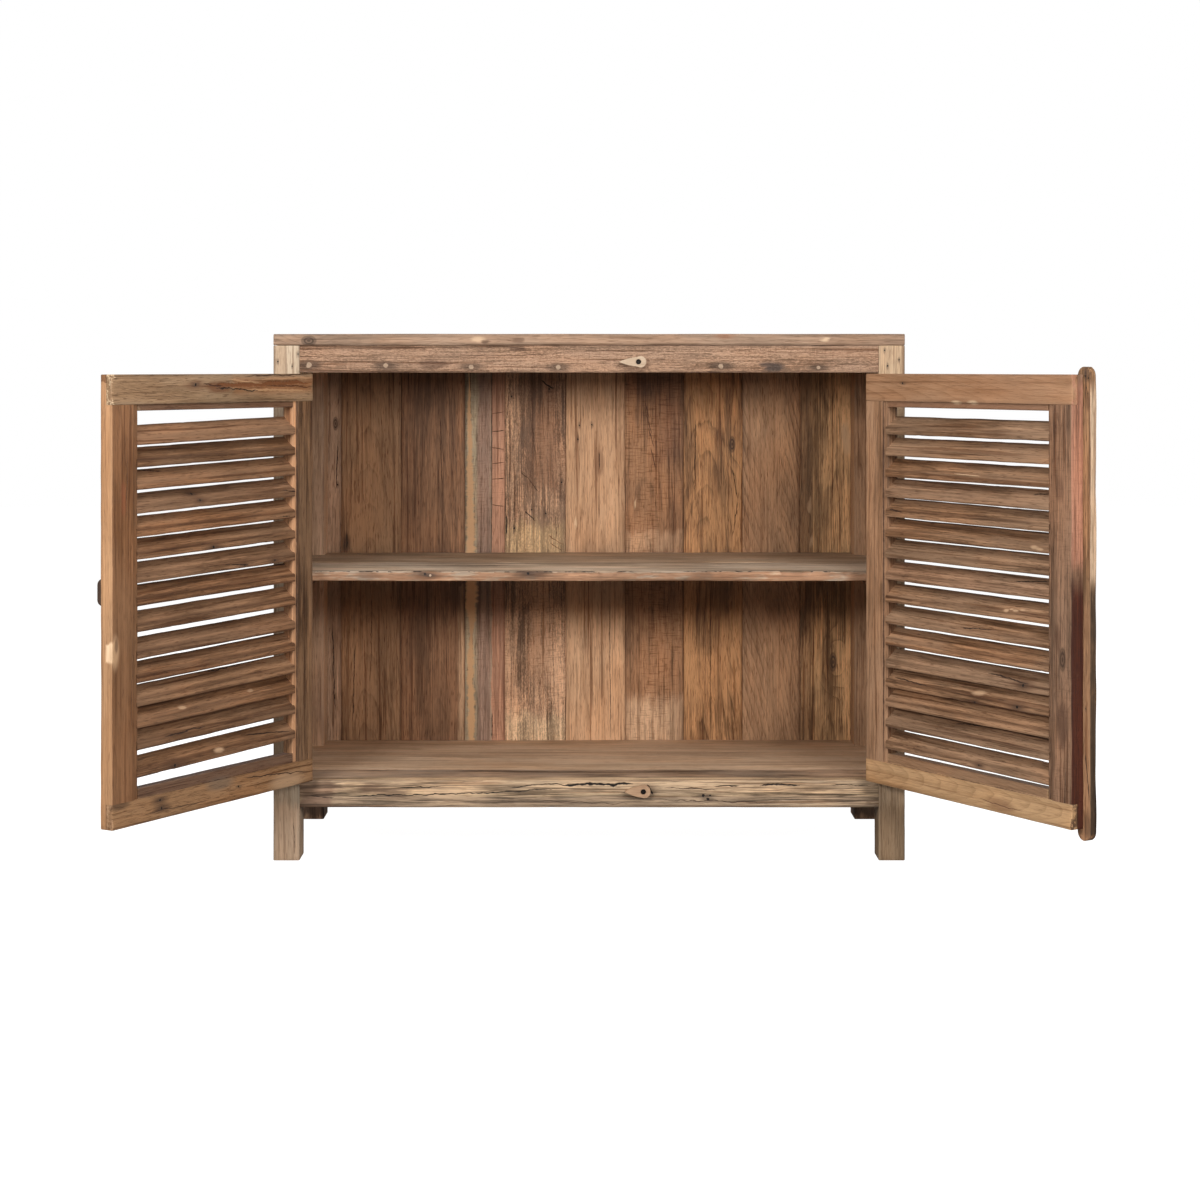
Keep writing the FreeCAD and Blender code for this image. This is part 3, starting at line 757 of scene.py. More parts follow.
posts = {
    "front_left_post": {
        "tone": (172, 154, 131), "contrast": 0.22, "seed": 21.0, "figure": 0.35, "greying": 0.2,
        "streak": 1.2,
        "tints": [
            ((-502, 70), (-480, 820), (1.2, 20, 12), (160, 138, 114), 0.7),
            ((-502, -10), (-456, 84), (8, 8, 12), (198, 168, 140), 0.85),
        ],
        "lines": [
            ((-479, 812), (-477, 86), 0.35, 0.8, (120, 92, 72)),
            ((-493, 780), (-491, 500), 0.3, 1, (140, 108, 84)),
            ((-468, 60), (-466, 6), 0.6, 1, (80, 58, 42)),
        ],
        "nails": [((-493, 790), 1.1), ((-460, 802), 1.2), ((-470, 783), 1.0)],
    },
    "front_right_post": {
        "tone": (166, 142, 114), "contrast": 0.4, "seed": 22.0, "figure": 0.4, "streak": 1.2,
        "tints": [((450, -10), (510, 84), (8, 8, 12), (146, 120, 92), 0.85)],
        "lines": [
            ((462, 812), (463, 90), 0.35, 0.8, (126, 96, 72)),
            ((484, 700), (482, 430), 0.35, 1.5, (140, 106, 80)),
        ],
        "nails": [
            ((468, 807), 1.3), ((472, 783), 1.2), ((491, 793), 0.9), ((491, 741), 0.8),
            ((492, 668), 0.9), ((490, 590), 0.7), ((491, 488), 0.9), ((492, 352), 0.8),
        ],
    },
    # painted shade: each rear post's foot below the bottom rail is darkened, as it stands in shadow under the
    # cabinet
    "rear_left_post": {
        "tone": (189, 153, 122), "contrast": 0.39, "seed": 23.0,
        "tints": [((-502, 0), (-450, 88), 10, (66, 46, 34), 0.85)],
    },
    "rear_right_post": {
        "tone": (164, 128, 97), "contrast": 0.39, "seed": 24.0,
        "tints": [((450, 0), (502, 88), 10, (52, 36, 26), 0.85)],
    },
}
for node, look in posts.items():
    face = ("y", 0 if node.startswith("front") else 328)
    layBoard(node, up, front, {"face": face, **look}, wear=[0.0016] * 4, chipped=[0.002] * 4)

rails = {
    "front_top_rail": {
        "tone": (155, 123, 98), "contrast": 0.43, "seed": 31.0, "saw": 0.4, "rough": 1.7, "figure": 0.2,
        "fibre": 1.8, "bump": 0.9,
        "plugs": [
            ((-444, 785), 4.4), ((-322, 783), 4.0), ((-187, 782), 4.0), ((-49, 781), 4.0),
            ((209, 783), 4.2), ((363, 780), 3.2),
        ],
        "blots": [
            ((-249, 786), 4, (84, 58, 44), 0.6), ((-117, 812), 3, (70, 48, 36), 0.6),
            ((296, 781), 4.6, (70, 58, 52), 0.9), ((200, 772), 2.4, (70, 48, 36), 0.7),
        ],
        "lines": [
            ((-210, 799), (-60, 801), 0.4, 2, (110, 80, 62)),
            ((260, 806), (400, 803), 0.4, 2, (112, 82, 62)),
        ],
    },
    "front_bottom_rail": {
        "tone": (152, 128, 98), "contrast": 0.8, "seed": 32.0, "greying": 0.5, "streak": 1.5,
        "fibre": 1.9, "pith": (0, 30, -40),
        "tints": [
            ((-460, 106), (460, 128), 3, (186, 156, 124), 0.75),
            ((-460, 84), (460, 103), 3, (138, 116, 96), 0.6),
            ((-460, 84), (-404, 128), 10, (104, 76, 58), 0.7),
        ],
        "blots": [
            ((-344, 115), 5, (92, 66, 50), 0.6), ((-311, 107), 5, (92, 66, 50), 0.5),
            ((-230, 107), 6, (196, 164, 132), 0.5), ((92, 112), 5, (60, 42, 32), 0.6),
        ],
        "nails": [((181, 103), 2.4), ((188, 97), 2.4), ((192, 103), 1.4)],
        "lines": [
            ((-387, 101), (-180, 107), 0.9, 3, black), ((-200, 106), (-46, 113), 0.9, 3, black),
            ((-299, 115), (-236, 117), 0.7, 2, black), ((-44, 120), (69, 120.5), 2.6, 3, black),
            ((-130, 117), (-30, 121), 0.8, 3, black), ((92, 120), (101, 104), 2.2, 1, black),
            ((196, 118), (237, 118), 0.9, 2, black), ((269, 120), (334, 120), 1.5, 3, black),
            ((120, 115), (210, 112), 0.6, 3, (70, 50, 38)), ((381, 120), (446, 118), 0.8, 2, black),
            ((-444, 101), (-400, 99), 0.8, 2, black), ((120, 96), (300, 92), 0.6, 3, (72, 52, 40)),
            ((-150, 94), (60, 91), 0.5, 3, (80, 58, 44)),
        ],
    },
    "rear_top_rail": {"tone": (120, 90, 68), "seed": 33.0},
    "rear_bottom_rail": {"tone": (120, 90, 68), "seed": 34.0},
}
for node, look in rails.items():
    layBoard(node, right, front, {"face": ("y", 0), **look}, wear=[0.0016] * 4, chipped=[0.003] * 4)

# rails and shelf cleats of the sides, which differ only in their seed
sideRails = {
    "left_top_side_rail": 35.0, "left_bottom_side_rail": 36.0,
    "right_top_side_rail": 37.0, "right_bottom_side_rail": 38.0,
    "left_shelf_cleat": 39.0, "right_shelf_cleat": 40.0,
}
for node, seed in sideRails.items():
    look = {"tone": (134, 102, 78), "seed": seed}
    layBoard(node, back, right if node.startswith("left") else left, look)
print("posts and rails set")

sidePlanks = {
    "left_side_plank_front": {
        "seed": 41.0, "tone": (152, 116, 88), "pith": (0, 20, -30), "taper": 0.06, "figure": 0.8,
    },
    "left_side_plank_rear": {"seed": 42.0, "tone": (140, 104, 78), "saw": 0.6},
    "right_side_plank_front": {"seed": 43.0, "tone": (160, 120, 88), "saw": 0.4},
    "right_side_plank_rear": {
        "seed": 44.0, "tone": (134, 98, 72), "pith": (0, -20, -26), "taper": 0.07, "figure": 0.8,
    },
}
for node, look in sidePlanks.items():
    layBoard(node, up, left if node.startswith("left") else right, look)

topBoards = {
    "top_board_1": {
        "seed": 51.0, "tone": (139, 113, 91), "contrast": 0.46, "figure": 0.6, "face": ("y", 0),
        "knot": ((-444, 823), 5),
        "blots": [
            ((-171, 825), 3, (200, 168, 136), 0.8), ((-155, 821), 2, (70, 48, 34), 0.7),
            ((-117, 824), 2.5, (84, 56, 40), 0.6), ((217, 831), 3, (140, 92, 66), 0.5),
            ((376, 825), 2.2, (206, 176, 144), 0.8),
        ],
    },
    "top_board_2": {
        "seed": 52.0, "tone": (150, 112, 84), "pith": (0, 10, -32), "taper": 0.05, "figure": 0.8,
    },
    "top_board_3": {"seed": 53.0, "tone": (156, 118, 90), "saw": 0.4},
}
for node, look in topBoards.items():
    layBoard(node, right, up, look, wear=[0.0024] * 4, chipped=[0.003] * 4)


def notchZones(low, high):
    # the board's ends are held clear of the corner posts; b runs towards the back
    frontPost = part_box("front_left_post")[1]
    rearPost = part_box("rear_left_post")[0]
    length, notch, middle = high.x - low.x, frontPost.x - low.x, (low.y + high.y) / 2
    frontEdge = frontPost.y - middle if low.y < frontPost.y else -1.0
    rearEdge = rearPost.y - middle if high.y > rearPost.y + 1 * mm else 1.0
    hold = (frontEdge, rearEdge, -1.0, 1.0)
    return [(0.0, notch, hold), (notch, length - notch, None), (length - notch, length, hold)]


flatBoards = {
    "bottom_board_front": {
        "seed": 61.0, "tone": (138, 114, 92), "contrast": 0.8, "greying": 0.8, "streak": 1.4,
    },
    "bottom_board_middle": {"seed": 62.0, "contrast": 0.28, "streak": 0.7, "tone": (179, 151, 123)},
    "bottom_board_rear": {"seed": 63.0, "contrast": 0.28, "streak": 0.7, "tone": (192, 161, 130)},
    "shelf_board_front": {
        "seed": 64.0, "tone": (170, 149, 126), "contrast": 0.6, "greying": 0.6, "streak": 1.5,
        "face": ("y", 27), "loose": 4, "lift": 2.6, "rub": 0.1, "dirt": 0.35,
        "tints": [((-470, 26.4, 430), (470, 30, 453.6), 0.8, (160, 120, 90), 0.95)],
        "nails": [((-263, 451), 2.2), ((-98, 452), 2.2)], "plugs": [((-255, 449), 2.0)],
        "blots": [
            ((-263, 452), 6, (96, 66, 46), 0.7), ((-358, 450), 4, (110, 78, 56), 0.6),
            ((-94, 453), 5, (80, 54, 38), 0.7), ((177, 450), 4, (110, 78, 56), 0.6),
        ],
        "lines": [
            ((-458, 455.5), (-160, 454.5), 0.9, 5, (40, 28, 20)),
            ((-170, 454.5), (140, 455), 0.9, 5, (40, 28, 20)),
            ((130, 455.5), (458, 454.5), 0.9, 5, (40, 28, 20)),
            ((-440, 456.5), (-100, 456), 0.8, 5, (64, 46, 34)),
            ((-60, 456.5), (400, 456), 0.8, 5, (64, 46, 34)),
        ],
    },
    "shelf_board_rear": {"seed": 65.0, "tone": (170, 146, 120)},
}
for node, look in flatBoards.items():
    # the front edge of the shelf is ragged
    ragged = node == "shelf_board_front"
    step, rounding, chip = (0.005, 0.0024, 0.005) if ragged else (0.009, 0.0012, 0.001)
    layBoard(
        node, right, up, look, zones=notchZones(*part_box(node)), step=step, chipWave=0.07, chipLevel=0.2,
        wear=[0.0014, 0.0012, 0.0012, rounding], chipped=[0.001, 0, 0, chip],
    )
print("boards laid")


def doorSpace(side):
    # closed-door space, drawn as a left-hand door, to its place at rest: a turn about the hinge
    # pins, and for the right-hand door a mirror in the cabinet's middle plane
    joint = next(j for j in frame["joints"] if j["name"] == side + "_door_hinge")
    angle = math.radians(joint["range_deg"][0])
    pin = np.array([-abs(joint["pos_m"][0]), joint["pos_m"][1], 0.0])
    c, s = math.cos(angle), math.sin(angle)
    turn = np.array([[c, -s, 0], [s, c, 0], [0, 0, 1]])
    return turn, np.diag([1.0 if side == "left" else -1.0, 1, 1]), pin


def toWorld(points, space):
    turn, mirror, pin = space
    return ((points - pin) @ turn.T + pin) @ mirror.T


def closedPoints(node, space):
    # the node's vertices with its door shut
    turn, mirror, pin = space
    mesh = frame["nodes"][node].data
    co = np.zeros(len(mesh.vertices) * 3)
    mesh.vertices.foreach_get("co", co)
    return ((co.reshape(-1, 3) @ mirror.T) - pin) @ turn + pin


doorForm = {
    "thick": 22 * mm,
    "faceGap": 0.2 * mm,
    "beadStep": 3 * mm,
    "topBead": 9 * mm,
    "bottomBead": 14 * mm,
    "topLap": 43 * mm,
    "bottomLap": 36 * mm,
    "hingeBead": 8.5 * mm,
    "left": {"closingBead": 10.5 * mm, "hingeWidth": 46.5 * mm, "closingWidth": 55.5 * mm},
    "right": {"closingBead": 11.5 * mm, "hingeWidth": 50.5 * mm, "closingWidth": 50.0 * mm},
}


def steppedCorners(width, thick, bead, beadSide):
    # face strip and set-back bead in one outline, counter-clockwise, bead on the +b or -b side
    w, t, s = width / 2, thick / 2, doorForm["beadStep"]
    if beadSide > 0:
        return [(-w, -t), (w, -t), (w, t - s), (w - bead, t - s), (w - bead, t), (-w, t)]
    return [(-w, -t), (w, -t), (w, t), (-w + bead, t), (-w + bead, t - s), (-w, t - s)]


def stileZones(length):
    # the outer face stays a little behind its plane, clear of the batten on the other door
    outer = -doorForm["thick"] / 2 + doorForm["faceGap"]
    lap, full = (-1.0, 1.0, outer, 0.0), (-1.0, 1.0, outer, 1.0)
    low, high = doorForm["bottomLap"], length - doorForm["topLap"]
    return [(0.0, low, lap), (low, high, full), (high, length, lap)]


def railZones(side, length, edge, beadSide):
    lap = (-1.0, edge, 0.0, 1.0) if beadSide > 0 else (-edge, 1.0, 0.0, 1.0)
    near, far = doorForm[side]["hingeWidth"], length - doorForm[side]["closingWidth"]
    return [(0.0, near, lap), (near, far, None), (far, length, lap)]


def doorTimber(side, name, along, bead, beadSide, space):
    node = side + name
    co = closedPoints(node, space)
    origin, axes, (length, width, thick) = boardFrame(co.min(0), co.max(0), along, back)
    inner = width / 2 - bead
    shape = {
        "length": length,
        "corners": steppedCorners(width, thick, bead, beadSide),
        "seed": sum(map(ord, node)),
        "zones": stileZones(length) if along == up else railZones(side, length, inner, beadSide),
        "wear": [0.0016, 0.0012, 0.0009, 0.0006, 0.0009, 0.0016],
        "swell": 0.0003,
    }
    # painted shade: a dark line is drawn in the step between face and bead
    step, depth = beadSide * inner, thick / 2 - 1.5 * mm
    ends = place(np.array([[0.02, step, depth], [length - 0.02, step, depth]]), origin, axes) / mm
    look = {"face": ("y", 21.4), "loose": 1.5, "fibre": 1.8, "pores": 1.0, **doorLooks[node]}
    look["lines"] = [*look.get("lines", ()), (ends[0], ends[1], 1.25, 0, (70, 47, 34))]
    makeTimber(node, side + "_door", origin, axes, look, shape, space)


doorLooks = {
    "left_hinge_stile": {
        "seed": 71.0, "tone": (112, 83, 58), "contrast": 0.61, "greying": 0.5,
        "tints": [((-416, 160), (-400, 745), 0.8, (196, 146, 106), 0.9)],
    },
    "left_closing_stile": {
        "seed": 72.0, "tone": (128, 91, 61), "contrast": 0.3, "pith": (0, 20, -45), "fibre": 1.0,
        "pores": 0.7,
        "blots": [
            ((-25, 604), 3, (140, 82, 54), 0.45), ((-26, 584), 3, (140, 82, 54), 0.45),
            ((-8, 378), 4.5, (186, 148, 112), 0.85), ((-10, 386), 2, (70, 46, 32), 0.6),
        ],
        "tints": [
            ((-2.6, -2, 110), (0, 26, 760), 0.7, (178, 136, 98), 0.9),
            ((-6, 10, 366), (2, 26, 392), 2.5, (196, 160, 124), 0.85),
        ],
        "lines": [
            ((-34, 700), (-30, 560), 0.4, 2, (70, 46, 32)),
            ((-44, 420), (-40, 240), 0.4, 2, (78, 52, 36)),
        ],
    },
    "left_door_top_rail": {
        "seed": 73.0, "tone": (143, 117, 89), "contrast": 0.26, "figure": 0.35, "pith": (40, 26, -30),
        "taper": 0.05, "greying": 0.4, "fibre": 1.3, "loose": 5, "nails": [((-178, 755), 2.2)],
        "blots": [((-178, 755), 5, (110, 74, 50), 0.6), ((-229, 752), 5, (104, 64, 38), 0.8)],
        "tints": [
            ((-408, 712), (-57, 727.7), (4, 4, 0.6), (112, 80, 60), 0.85),
            ((-455, 742), (-260, 764), 9, (138, 90, 54), 0.75),
            ((-2.6, 9, 720), (0, 26, 775), 0.7, (206, 180, 146), 0.9),
        ],
        "lines": [
            ((-215, 754), (-450, 758), 4.4, 3, (112, 68, 38)),
            ((-250, 764), (-330, 757), 1.8, 2, (170, 130, 94)),
            ((-290, 748), (-452, 744), 2.6, 2, (168, 128, 92)),
            ((-330, 763), (-452, 765), 2.4, 2, (164, 124, 90)),
            ((-226, 750), (-320, 747), 1.1, 4, black), ((-196, 757), (-240, 752), 1.2, 3, (70, 42, 26)),
            ((-290, 768), (-447, 770), 1.0, 2, (66, 42, 28)),
            ((-340, 753), (-450, 751), 1.3, 2, (84, 50, 28)),
            ((-150, 738), (-60, 741), 0.4, 2, (110, 82, 60)),
        ],
    },
    "left_door_bottom_rail": {
        "seed": 74.0, "tone": (144, 108, 74), "contrast": 0.26, "greying": 0.5, "figure": 0.8,
        "pith": (0, 12, -30), "taper": 0.06,
        "nails": [((-274, 150), 1.5), ((-101, 157), 2.0), ((-104, 146), 1.8)],
        "blots": [
            ((-101, 157), 4, (74, 50, 36), 0.6), ((-105, 145), 4, (74, 50, 36), 0.6),
            ((-232, 161), 6, (104, 92, 80), 0.5), ((-390, 139), 8, (186, 152, 118), 0.6),
            ((-18, 163), 4, (60, 40, 28), 0.6),
        ],
        "tints": [
            ((-408, 166.3), (-57, 184), (4, 4, 0.6), (104, 78, 62), 0.85),
            ((-2.6, 9, 120), (0, 26, 170), 0.7, (176, 138, 104), 0.8),
        ],
        "lines": [
            ((-285, 162), (-447, 146), 0.9, 3, (56, 38, 28)),
            ((-200, 140), (-60, 143), 0.5, 2, (64, 44, 32)),
        ],
    },
    "right_hinge_stile": {
        "seed": 75.0, "tone": (145, 111, 83), "contrast": 0.5, "fibre": 1.2, "pores": 0.7,
        "tints": [((-412, 160), (-404, 745), 1.5, (160, 122, 92), 0.6)],
        "lines": [((-407, 721), (-407, 618), 1.2, 1, (226, 214, 200))],
    },
    "right_closing_stile": {
        "seed": 76.0, "tone": (127, 96, 73), "contrast": 0.57, "saw": 0.4, "knot": ((-20, 368), 7),
        "blots": [
            ((-20, 277), 7, (80, 54, 40), 0.7), ((-25, 608), 4, (90, 60, 44), 0.5),
            ((-29, 395), 4, (86, 58, 42), 0.6),
        ],
        "tints": [
            ((-2.6, -2, 500), (0, 26, 760), (0.7, 0.7, 14), (158, 110, 86), 0.95),
            ((-2.6, -2, 110), (0, 26, 478), (0.7, 0.7, 24), (62, 22, 7), 0.95),
        ],
    },
    "right_door_top_rail": {
        "seed": 77.0, "tone": (156, 118, 87), "contrast": 0.2, "figure": 0.9, "pith": (60, 14, -22),
        "taper": 0.1, "fibre": 0.7, "pores": 0.4, "nails": [((-365, 756), 1.6)],
        "blots": [((-243, 728), 2.2, (206, 176, 142), 0.8), ((-209, 728), 2.2, (206, 176, 142), 0.8)],
        "tints": [
            ((-404, 712), (-52, 727.7), (4, 4, 0.6), (134, 98, 74), 0.8),
            ((-2.6, 9, 720), (0, 26, 775), 0.7, (168, 120, 94), 0.8),
        ],
    },
    "right_door_bottom_rail": {
        "seed": 78.0, "tone": (185, 147, 106), "contrast": 0.24, "figure": 1.1, "pith": (40, 3, -18),
        "taper": 0.12, "ring": 4.2, "fibre": 0.9, "pores": 0.5,
        "lines": [((-191, 145), (-106, 139), 0.7, 2, (110, 76, 54))],
        "blots": [((-148, 142), 6, (130, 92, 64), 0.6)],
        "tints": [
            ((-404, 166.3), (-52, 184), (4, 4, 0.6), (132, 100, 76), 0.8),
            ((-2.6, 9, 120), (0, 26, 170), 0.7, (84, 60, 44), 0.85),
        ],
    },
}

slatForm = {
    "depth": 20.8 * mm,
    "edgeHeight": 11.8 * mm,
    "slope": math.tan(math.radians(41)),
    "tenon": 6 * mm,
    "tuck": 3 * mm,                # how far a slat goes into the stile
    "grainPitch": 1.7,             # every slat is cut from another stretch of the same timber
}
slatShape = {
    "corners": rectangle(slatForm["depth"], slatForm["edgeHeight"]),
    "wear": [0.0016] * 4,
    "wearSwing": 0.2,
    "chipped": [0.0006, 0.0008, 0.0024, 0.0008],
    "chipLevel": 1.15,
    "chipWave": 0.09,
    "radiusLimit": 0.0045,
    "step": 0.007,
    "gap": 0.006,
    "swell": 0.00012,
    "sharpEnds": True,
}
# each slat's brightness and warmth, top to bottom, then marks on the shown side of the shut door
slatLooks = {
    "left": {
        "look": {
            "seed": 81.0, "tone": (127, 97, 69), "contrast": 0.44, "fibre": 1.6,
            "cast": ((146, 104, 76), 0.3),
        },
        "shades": (
            0.3, -0.34, 0.02, -0.2, 0.18, -0.12, -0.02, -0.06, 0.1, -0.1, -0.1, 0.42, -0.1, -0.06, -0.1,
        ),
        "warmths": (-0.3, 0.1, 0.3, -0.5, 0.4, 0.1, -0.2, 0.3, 0.1, -0.3, 0.3, 0.0, 0.4, -0.1, 0.2),
        "knots": [
            ((-179, 594), 4), ((-188, 585), 3), ((-219, 514), 4.5), ((-361, 484), 3.5),
            ((-133, 202), 5), ((-290, 482), 3),
        ],
        "pale": [((-155, 284), 1.6), ((-232, 210), 2.2), ((-313, 289), 1.4)],
        "scratches": [((-232, 150), (-200, 143)), ((-226, 146), (-190, 139))],
        "cracks": [
            ((-420, 474), (-330, 476)), ((-360, 470), (-290, 478)), ((-300, 482), (-240, 486)),
            ((-390, 440), (-330, 446)), ((-420, 548), (-350, 552)), ((-120, 630), (-60, 636)),
            ((-420, 586), (-380, 590)), ((-300, 330), (-220, 326)), ((-200, 250), (-110, 246)),
            ((-400, 216), (-300, 222)),
        ],
    },
    "right": {
        "look": {
            "seed": 82.0, "tone": (139, 111, 84), "contrast": 0.47, "fibre": 1.8,
            "cast": ((152, 112, 84), 0.3),
        },
        "shades": (
            -0.3, 0.04, -0.08, 0.02, 0.12, -0.26, 0.02, 0.06, -0.14, 0.06, 0.1, -0.1, 0.04, 0.26, -0.1,
            0.06,
        ),
        "warmths": (
            -0.1, 0.2, 0.4, -0.3, 0.1, 0.3, 0.0, -0.4, 0.2, 0.1, 0.4, -0.2, 0.1, 0.3, -0.1, 0.2,
        ),
        "knots": [((-100, 322), 4.5), ((-113, 289), 4.5), ((-202, 285), 3), ((-193, 193), 3)],
        "pale": [
            ((-198, 299), 2.4), ((-138, 427), 1.2), ((-128, 429), 0.9), ((-118, 428), 1.1),
            ((-106, 430), 0.9), ((-76, 523), 1.5), ((-66, 521), 1.2),
        ],
        "scratches": [((-117, 697), (-134, 684)), ((-250, 622), (-190, 620))],
        "cracks": [
            ((-130, 470), (-60, 474)), ((-400, 480), (-330, 478)), ((-240, 392), (-160, 396)),
            ((-390, 300), (-310, 296)), ((-180, 330), (-90, 326)), ((-260, 246), (-180, 250)),
            ((-140, 216), (-60, 220)), ((-400, 560), (-350, 556)), ((-90, 598), (-56, 602)),
            ((-330, 176), (-240, 180)),
        ],
    },
}
slatLook = {
    "greying": 0.5, "figure": 0.6, "dirt": 0.75, "rub": 0.2, "pores": 1.0, "face": ("y", 16), "loose": 2,
}


def slatMiddles(points, middle):
    # each slat's outer edge stands as far above its middle as its inner edge lies below it
    edgeBand, slatGap = 8 * mm, 14 * mm
    levels = []
    for side in (-1, 1):
        z = np.sort(points[(points[:, 1] - middle) * side > edgeBand, 2])
        groups = np.split(z, np.where(np.diff(z) > slatGap)[0] + 1)
        levels.append(np.array([(g[0] + g[-1]) / 2 for g in groups]))
    return ((levels[0] + levels[1]) / 2)[::-1]


def makeSlats(side, space):
    node = side + "_louvre_slats"
    s, plan = slatForm, slatLooks[side]
    co = closedPoints(node, space)
    low, high = co.min(0), co.max(0)
    middle = (low[1] + high[1]) / 2
    x0 = low[0] + s["tenon"] - s["tuck"]
    length = high[0] - s["tenon"] + s["tuck"] - x0
    # rise of the slats for each metre towards the closing edge, taken from their two ends
    ends = [co[np.abs(co[:, 0] - x) < 1 * mm] for x in (low[0], high[0])]
    slant = (ends[1][:, 2].mean() - ends[0][:, 2].mean()) / (high[0] - low[0])
    levelled = co - np.outer(slant * (co[:, 0] - x0 - length / 2), up)
    centres = slatMiddles(levelled, middle)
    axes = (np.array([1.0, 0, slant]), np.array([0, 1.0, -s["slope"]]), np.array([0, 0, 1.0]))
    pieces, faces, base = [], [], 0
    for n, centre in enumerate(centres):
        seed = 500 + 37 * n + (0 if side == "left" else 900)
        local, edge, _ = carryTimber({**slatShape, "length": length, "seed": seed})
        world = place(local, np.array([x0, middle, centre - slant * length / 2]), axes)
        # no slat lies quite straight
        world[..., 2] += 0.0004 * math.sin(7.3 * n + 1) * (local[..., 0] / length - 0.5) * 2
        grain = local + np.array([s["grainPitch"] * n, 0.0, 0.0])
        shade, warmth = (np.full(edge.size, plan[key][n]) for key in ("shades", "warmths"))
        points = toWorld(world, space).reshape(-1, 3)
        pieces.append((points, grain.reshape(-1, 3), edge.ravel(), shade, warmth))
        faces += tubeFaces(*edge.shape, base)
        base += edge.size

    def toSlat(point):
        # a point on the shown side of a door to the nearest slat's own along, across and through
        z = point[2] * mm - slant * (point[0] * mm - x0 - length / 2)
        n = int(np.argmin(np.abs(centres + 1.5 * mm - z)))
        rise = z - centres[n]
        half, drop = s["edgeHeight"] / 2, s["depth"] / 2
        nose = rise < half - drop * s["slope"]
        across = drop if nose else (half - rise) / s["slope"]
        through = rise + drop * s["slope"] if nose else half
        return np.array([point[0] - (x0 - s["grainPitch"] * n) / mm, across / mm, through / mm])

    look = {**slatLook, **plan["look"]}
    look["nails"] = [(p, r * 0.5) for p, r in plan["knots"]]
    look["blots"] = [(p, r, (92, 64, 46), 0.6) for p, r in plan["knots"]]
    look["blots"] += [(p, r, (196, 160, 126), 0.7) for p, r in plan["pale"]]
    look["lines"] = [(p, q, 0.5, 0.5, (186, 154, 122)) for p, q in plan["scratches"]]
    look["lines"] += [(p, q, 0.9, 2, (44, 29, 21)) for p, q in plan["cracks"]]
    points, *data = (np.concatenate(part) for part in zip(*pieces))
    layers = dict(zip(("grain", "arris", "shade", "warmth"), data))
    makePiece(node, side + "_door", points, faces, layers, teakMaterial(node, look, toSlat))


for side in ("left", "right"):
    space = doorSpace(side)
    form = {**doorForm, **doorForm[side]}
    doorTimber(side, "_hinge_stile", up, form["hingeBead"], 1, space)
    doorTimber(side, "_closing_stile", up, form["closingBead"], -1, space)
    doorTimber(side, "_door_top_rail", right, form["topBead"], 1, space)
    doorTimber(side, "_door_bottom_rail", right, form["bottomBead"], -1, space)
    makeSlats(side, space)
print("doors made")

battenLook = {
    "seed": 91.0, "tone": (135, 102, 72), "contrast": 0.53, "fibre": 2.0, "pores": 1.0,
    "face": ("y", -0.6), "loose": 1.2,
    "tints": [
        ((11.9, -16, 478), (16, 2, 752), (0.6, 0.6, 16), (184, 156, 128), 0.9),
        ((11.9, -16, 100), (16, 2, 474), (0.6, 0.6, 20), (58, 44, 31), 0.9),
        ((-16, -5, 100), (11, 4, 440), (0.6, 1, 30), (160, 120, 88), 0.7),
    ],
    "nails": [
        ((2.5, 768), 1.6), ((9, 766), 1.2), ((5, 752), 0.9), ((3, 300), 1.2), ((8, 744), 0.7),
        ((-6, 640), 1.4),
    ],
    "blots": [
        ((4, 774), 3, (74, 52, 38), 0.7), ((8, 730), 2.5, (84, 58, 42), 0.6),
        ((6, 136), 4, (60, 42, 30), 0.6),
    ],
    "lines": [
        ((2, 240), (11, 168), 1.0, 1.5, (62, 42, 30)), ((10, 700), (11, 560), 0.4, 1, (90, 62, 44)),
    ],
}


def makeBatten(look):
    space = doorSpace("right")
    node = "right_closing_batten"
    co = closedPoints(node, space)
    origin, axes, (length, width, thick) = boardFrame(co.min(0), co.max(0), up, back)
    radius = width / 2

    def roundEnds(a, b, c):
        # half width follows a half circle at both ends
        away = np.clip(radius - np.minimum(a, length - a), 0, radius)
        half = np.sqrt(np.clip(radius**2 - away**2, (1.2 * mm) ** 2, None))
        return b * half / radius, np.minimum(c, thick / 2 - doorForm["faceGap"])

    ends = radius * (1 - np.cos(np.linspace(0, math.pi / 2, 15)))
    middle = np.linspace(radius, length - radius, 90)[1:-1]
    shape = {
        "length": length,
        "corners": rectangle(width, thick),
        "seed": 77,
        "wear": [0.0034, 0.0034, 0.0012, 0.0012],
        "chipped": [0.001] * 4,
        "gap": 0.005,
        "arcSteps": 6,
        "swell": 0.0002,
        "stations": np.concatenate([ends, middle, (length - ends)[::-1]]),
        "reshape": roundEnds,
        "sharpEnds": True,
    }
    makeTimber(node, "right_door", origin, axes, look, shape, space)


makeBatten(battenLook)
print("batten made")


def objectSpace(tree):
    return Wire(addNode(tree, "ShaderNodeTexCoord").outputs["Object"])


def cameraRay(tree):
    return Wire(addNode(tree, "ShaderNodeLightPath").outputs["Is Camera Ray"])


def dullSteel(name, dark, light):
    material, tree, shader = newMaterial(name)
    cloud = noise(objectSpace(tree), (180, 180, 180), 3.0)[0]
    feed(shader["Metallic"], 1.0)
    feed(shader["Base Color"], mixColor(cloud, dark, light))
    feed(shader["Roughness"], cloud * 0.3 + 0.35)
    return material


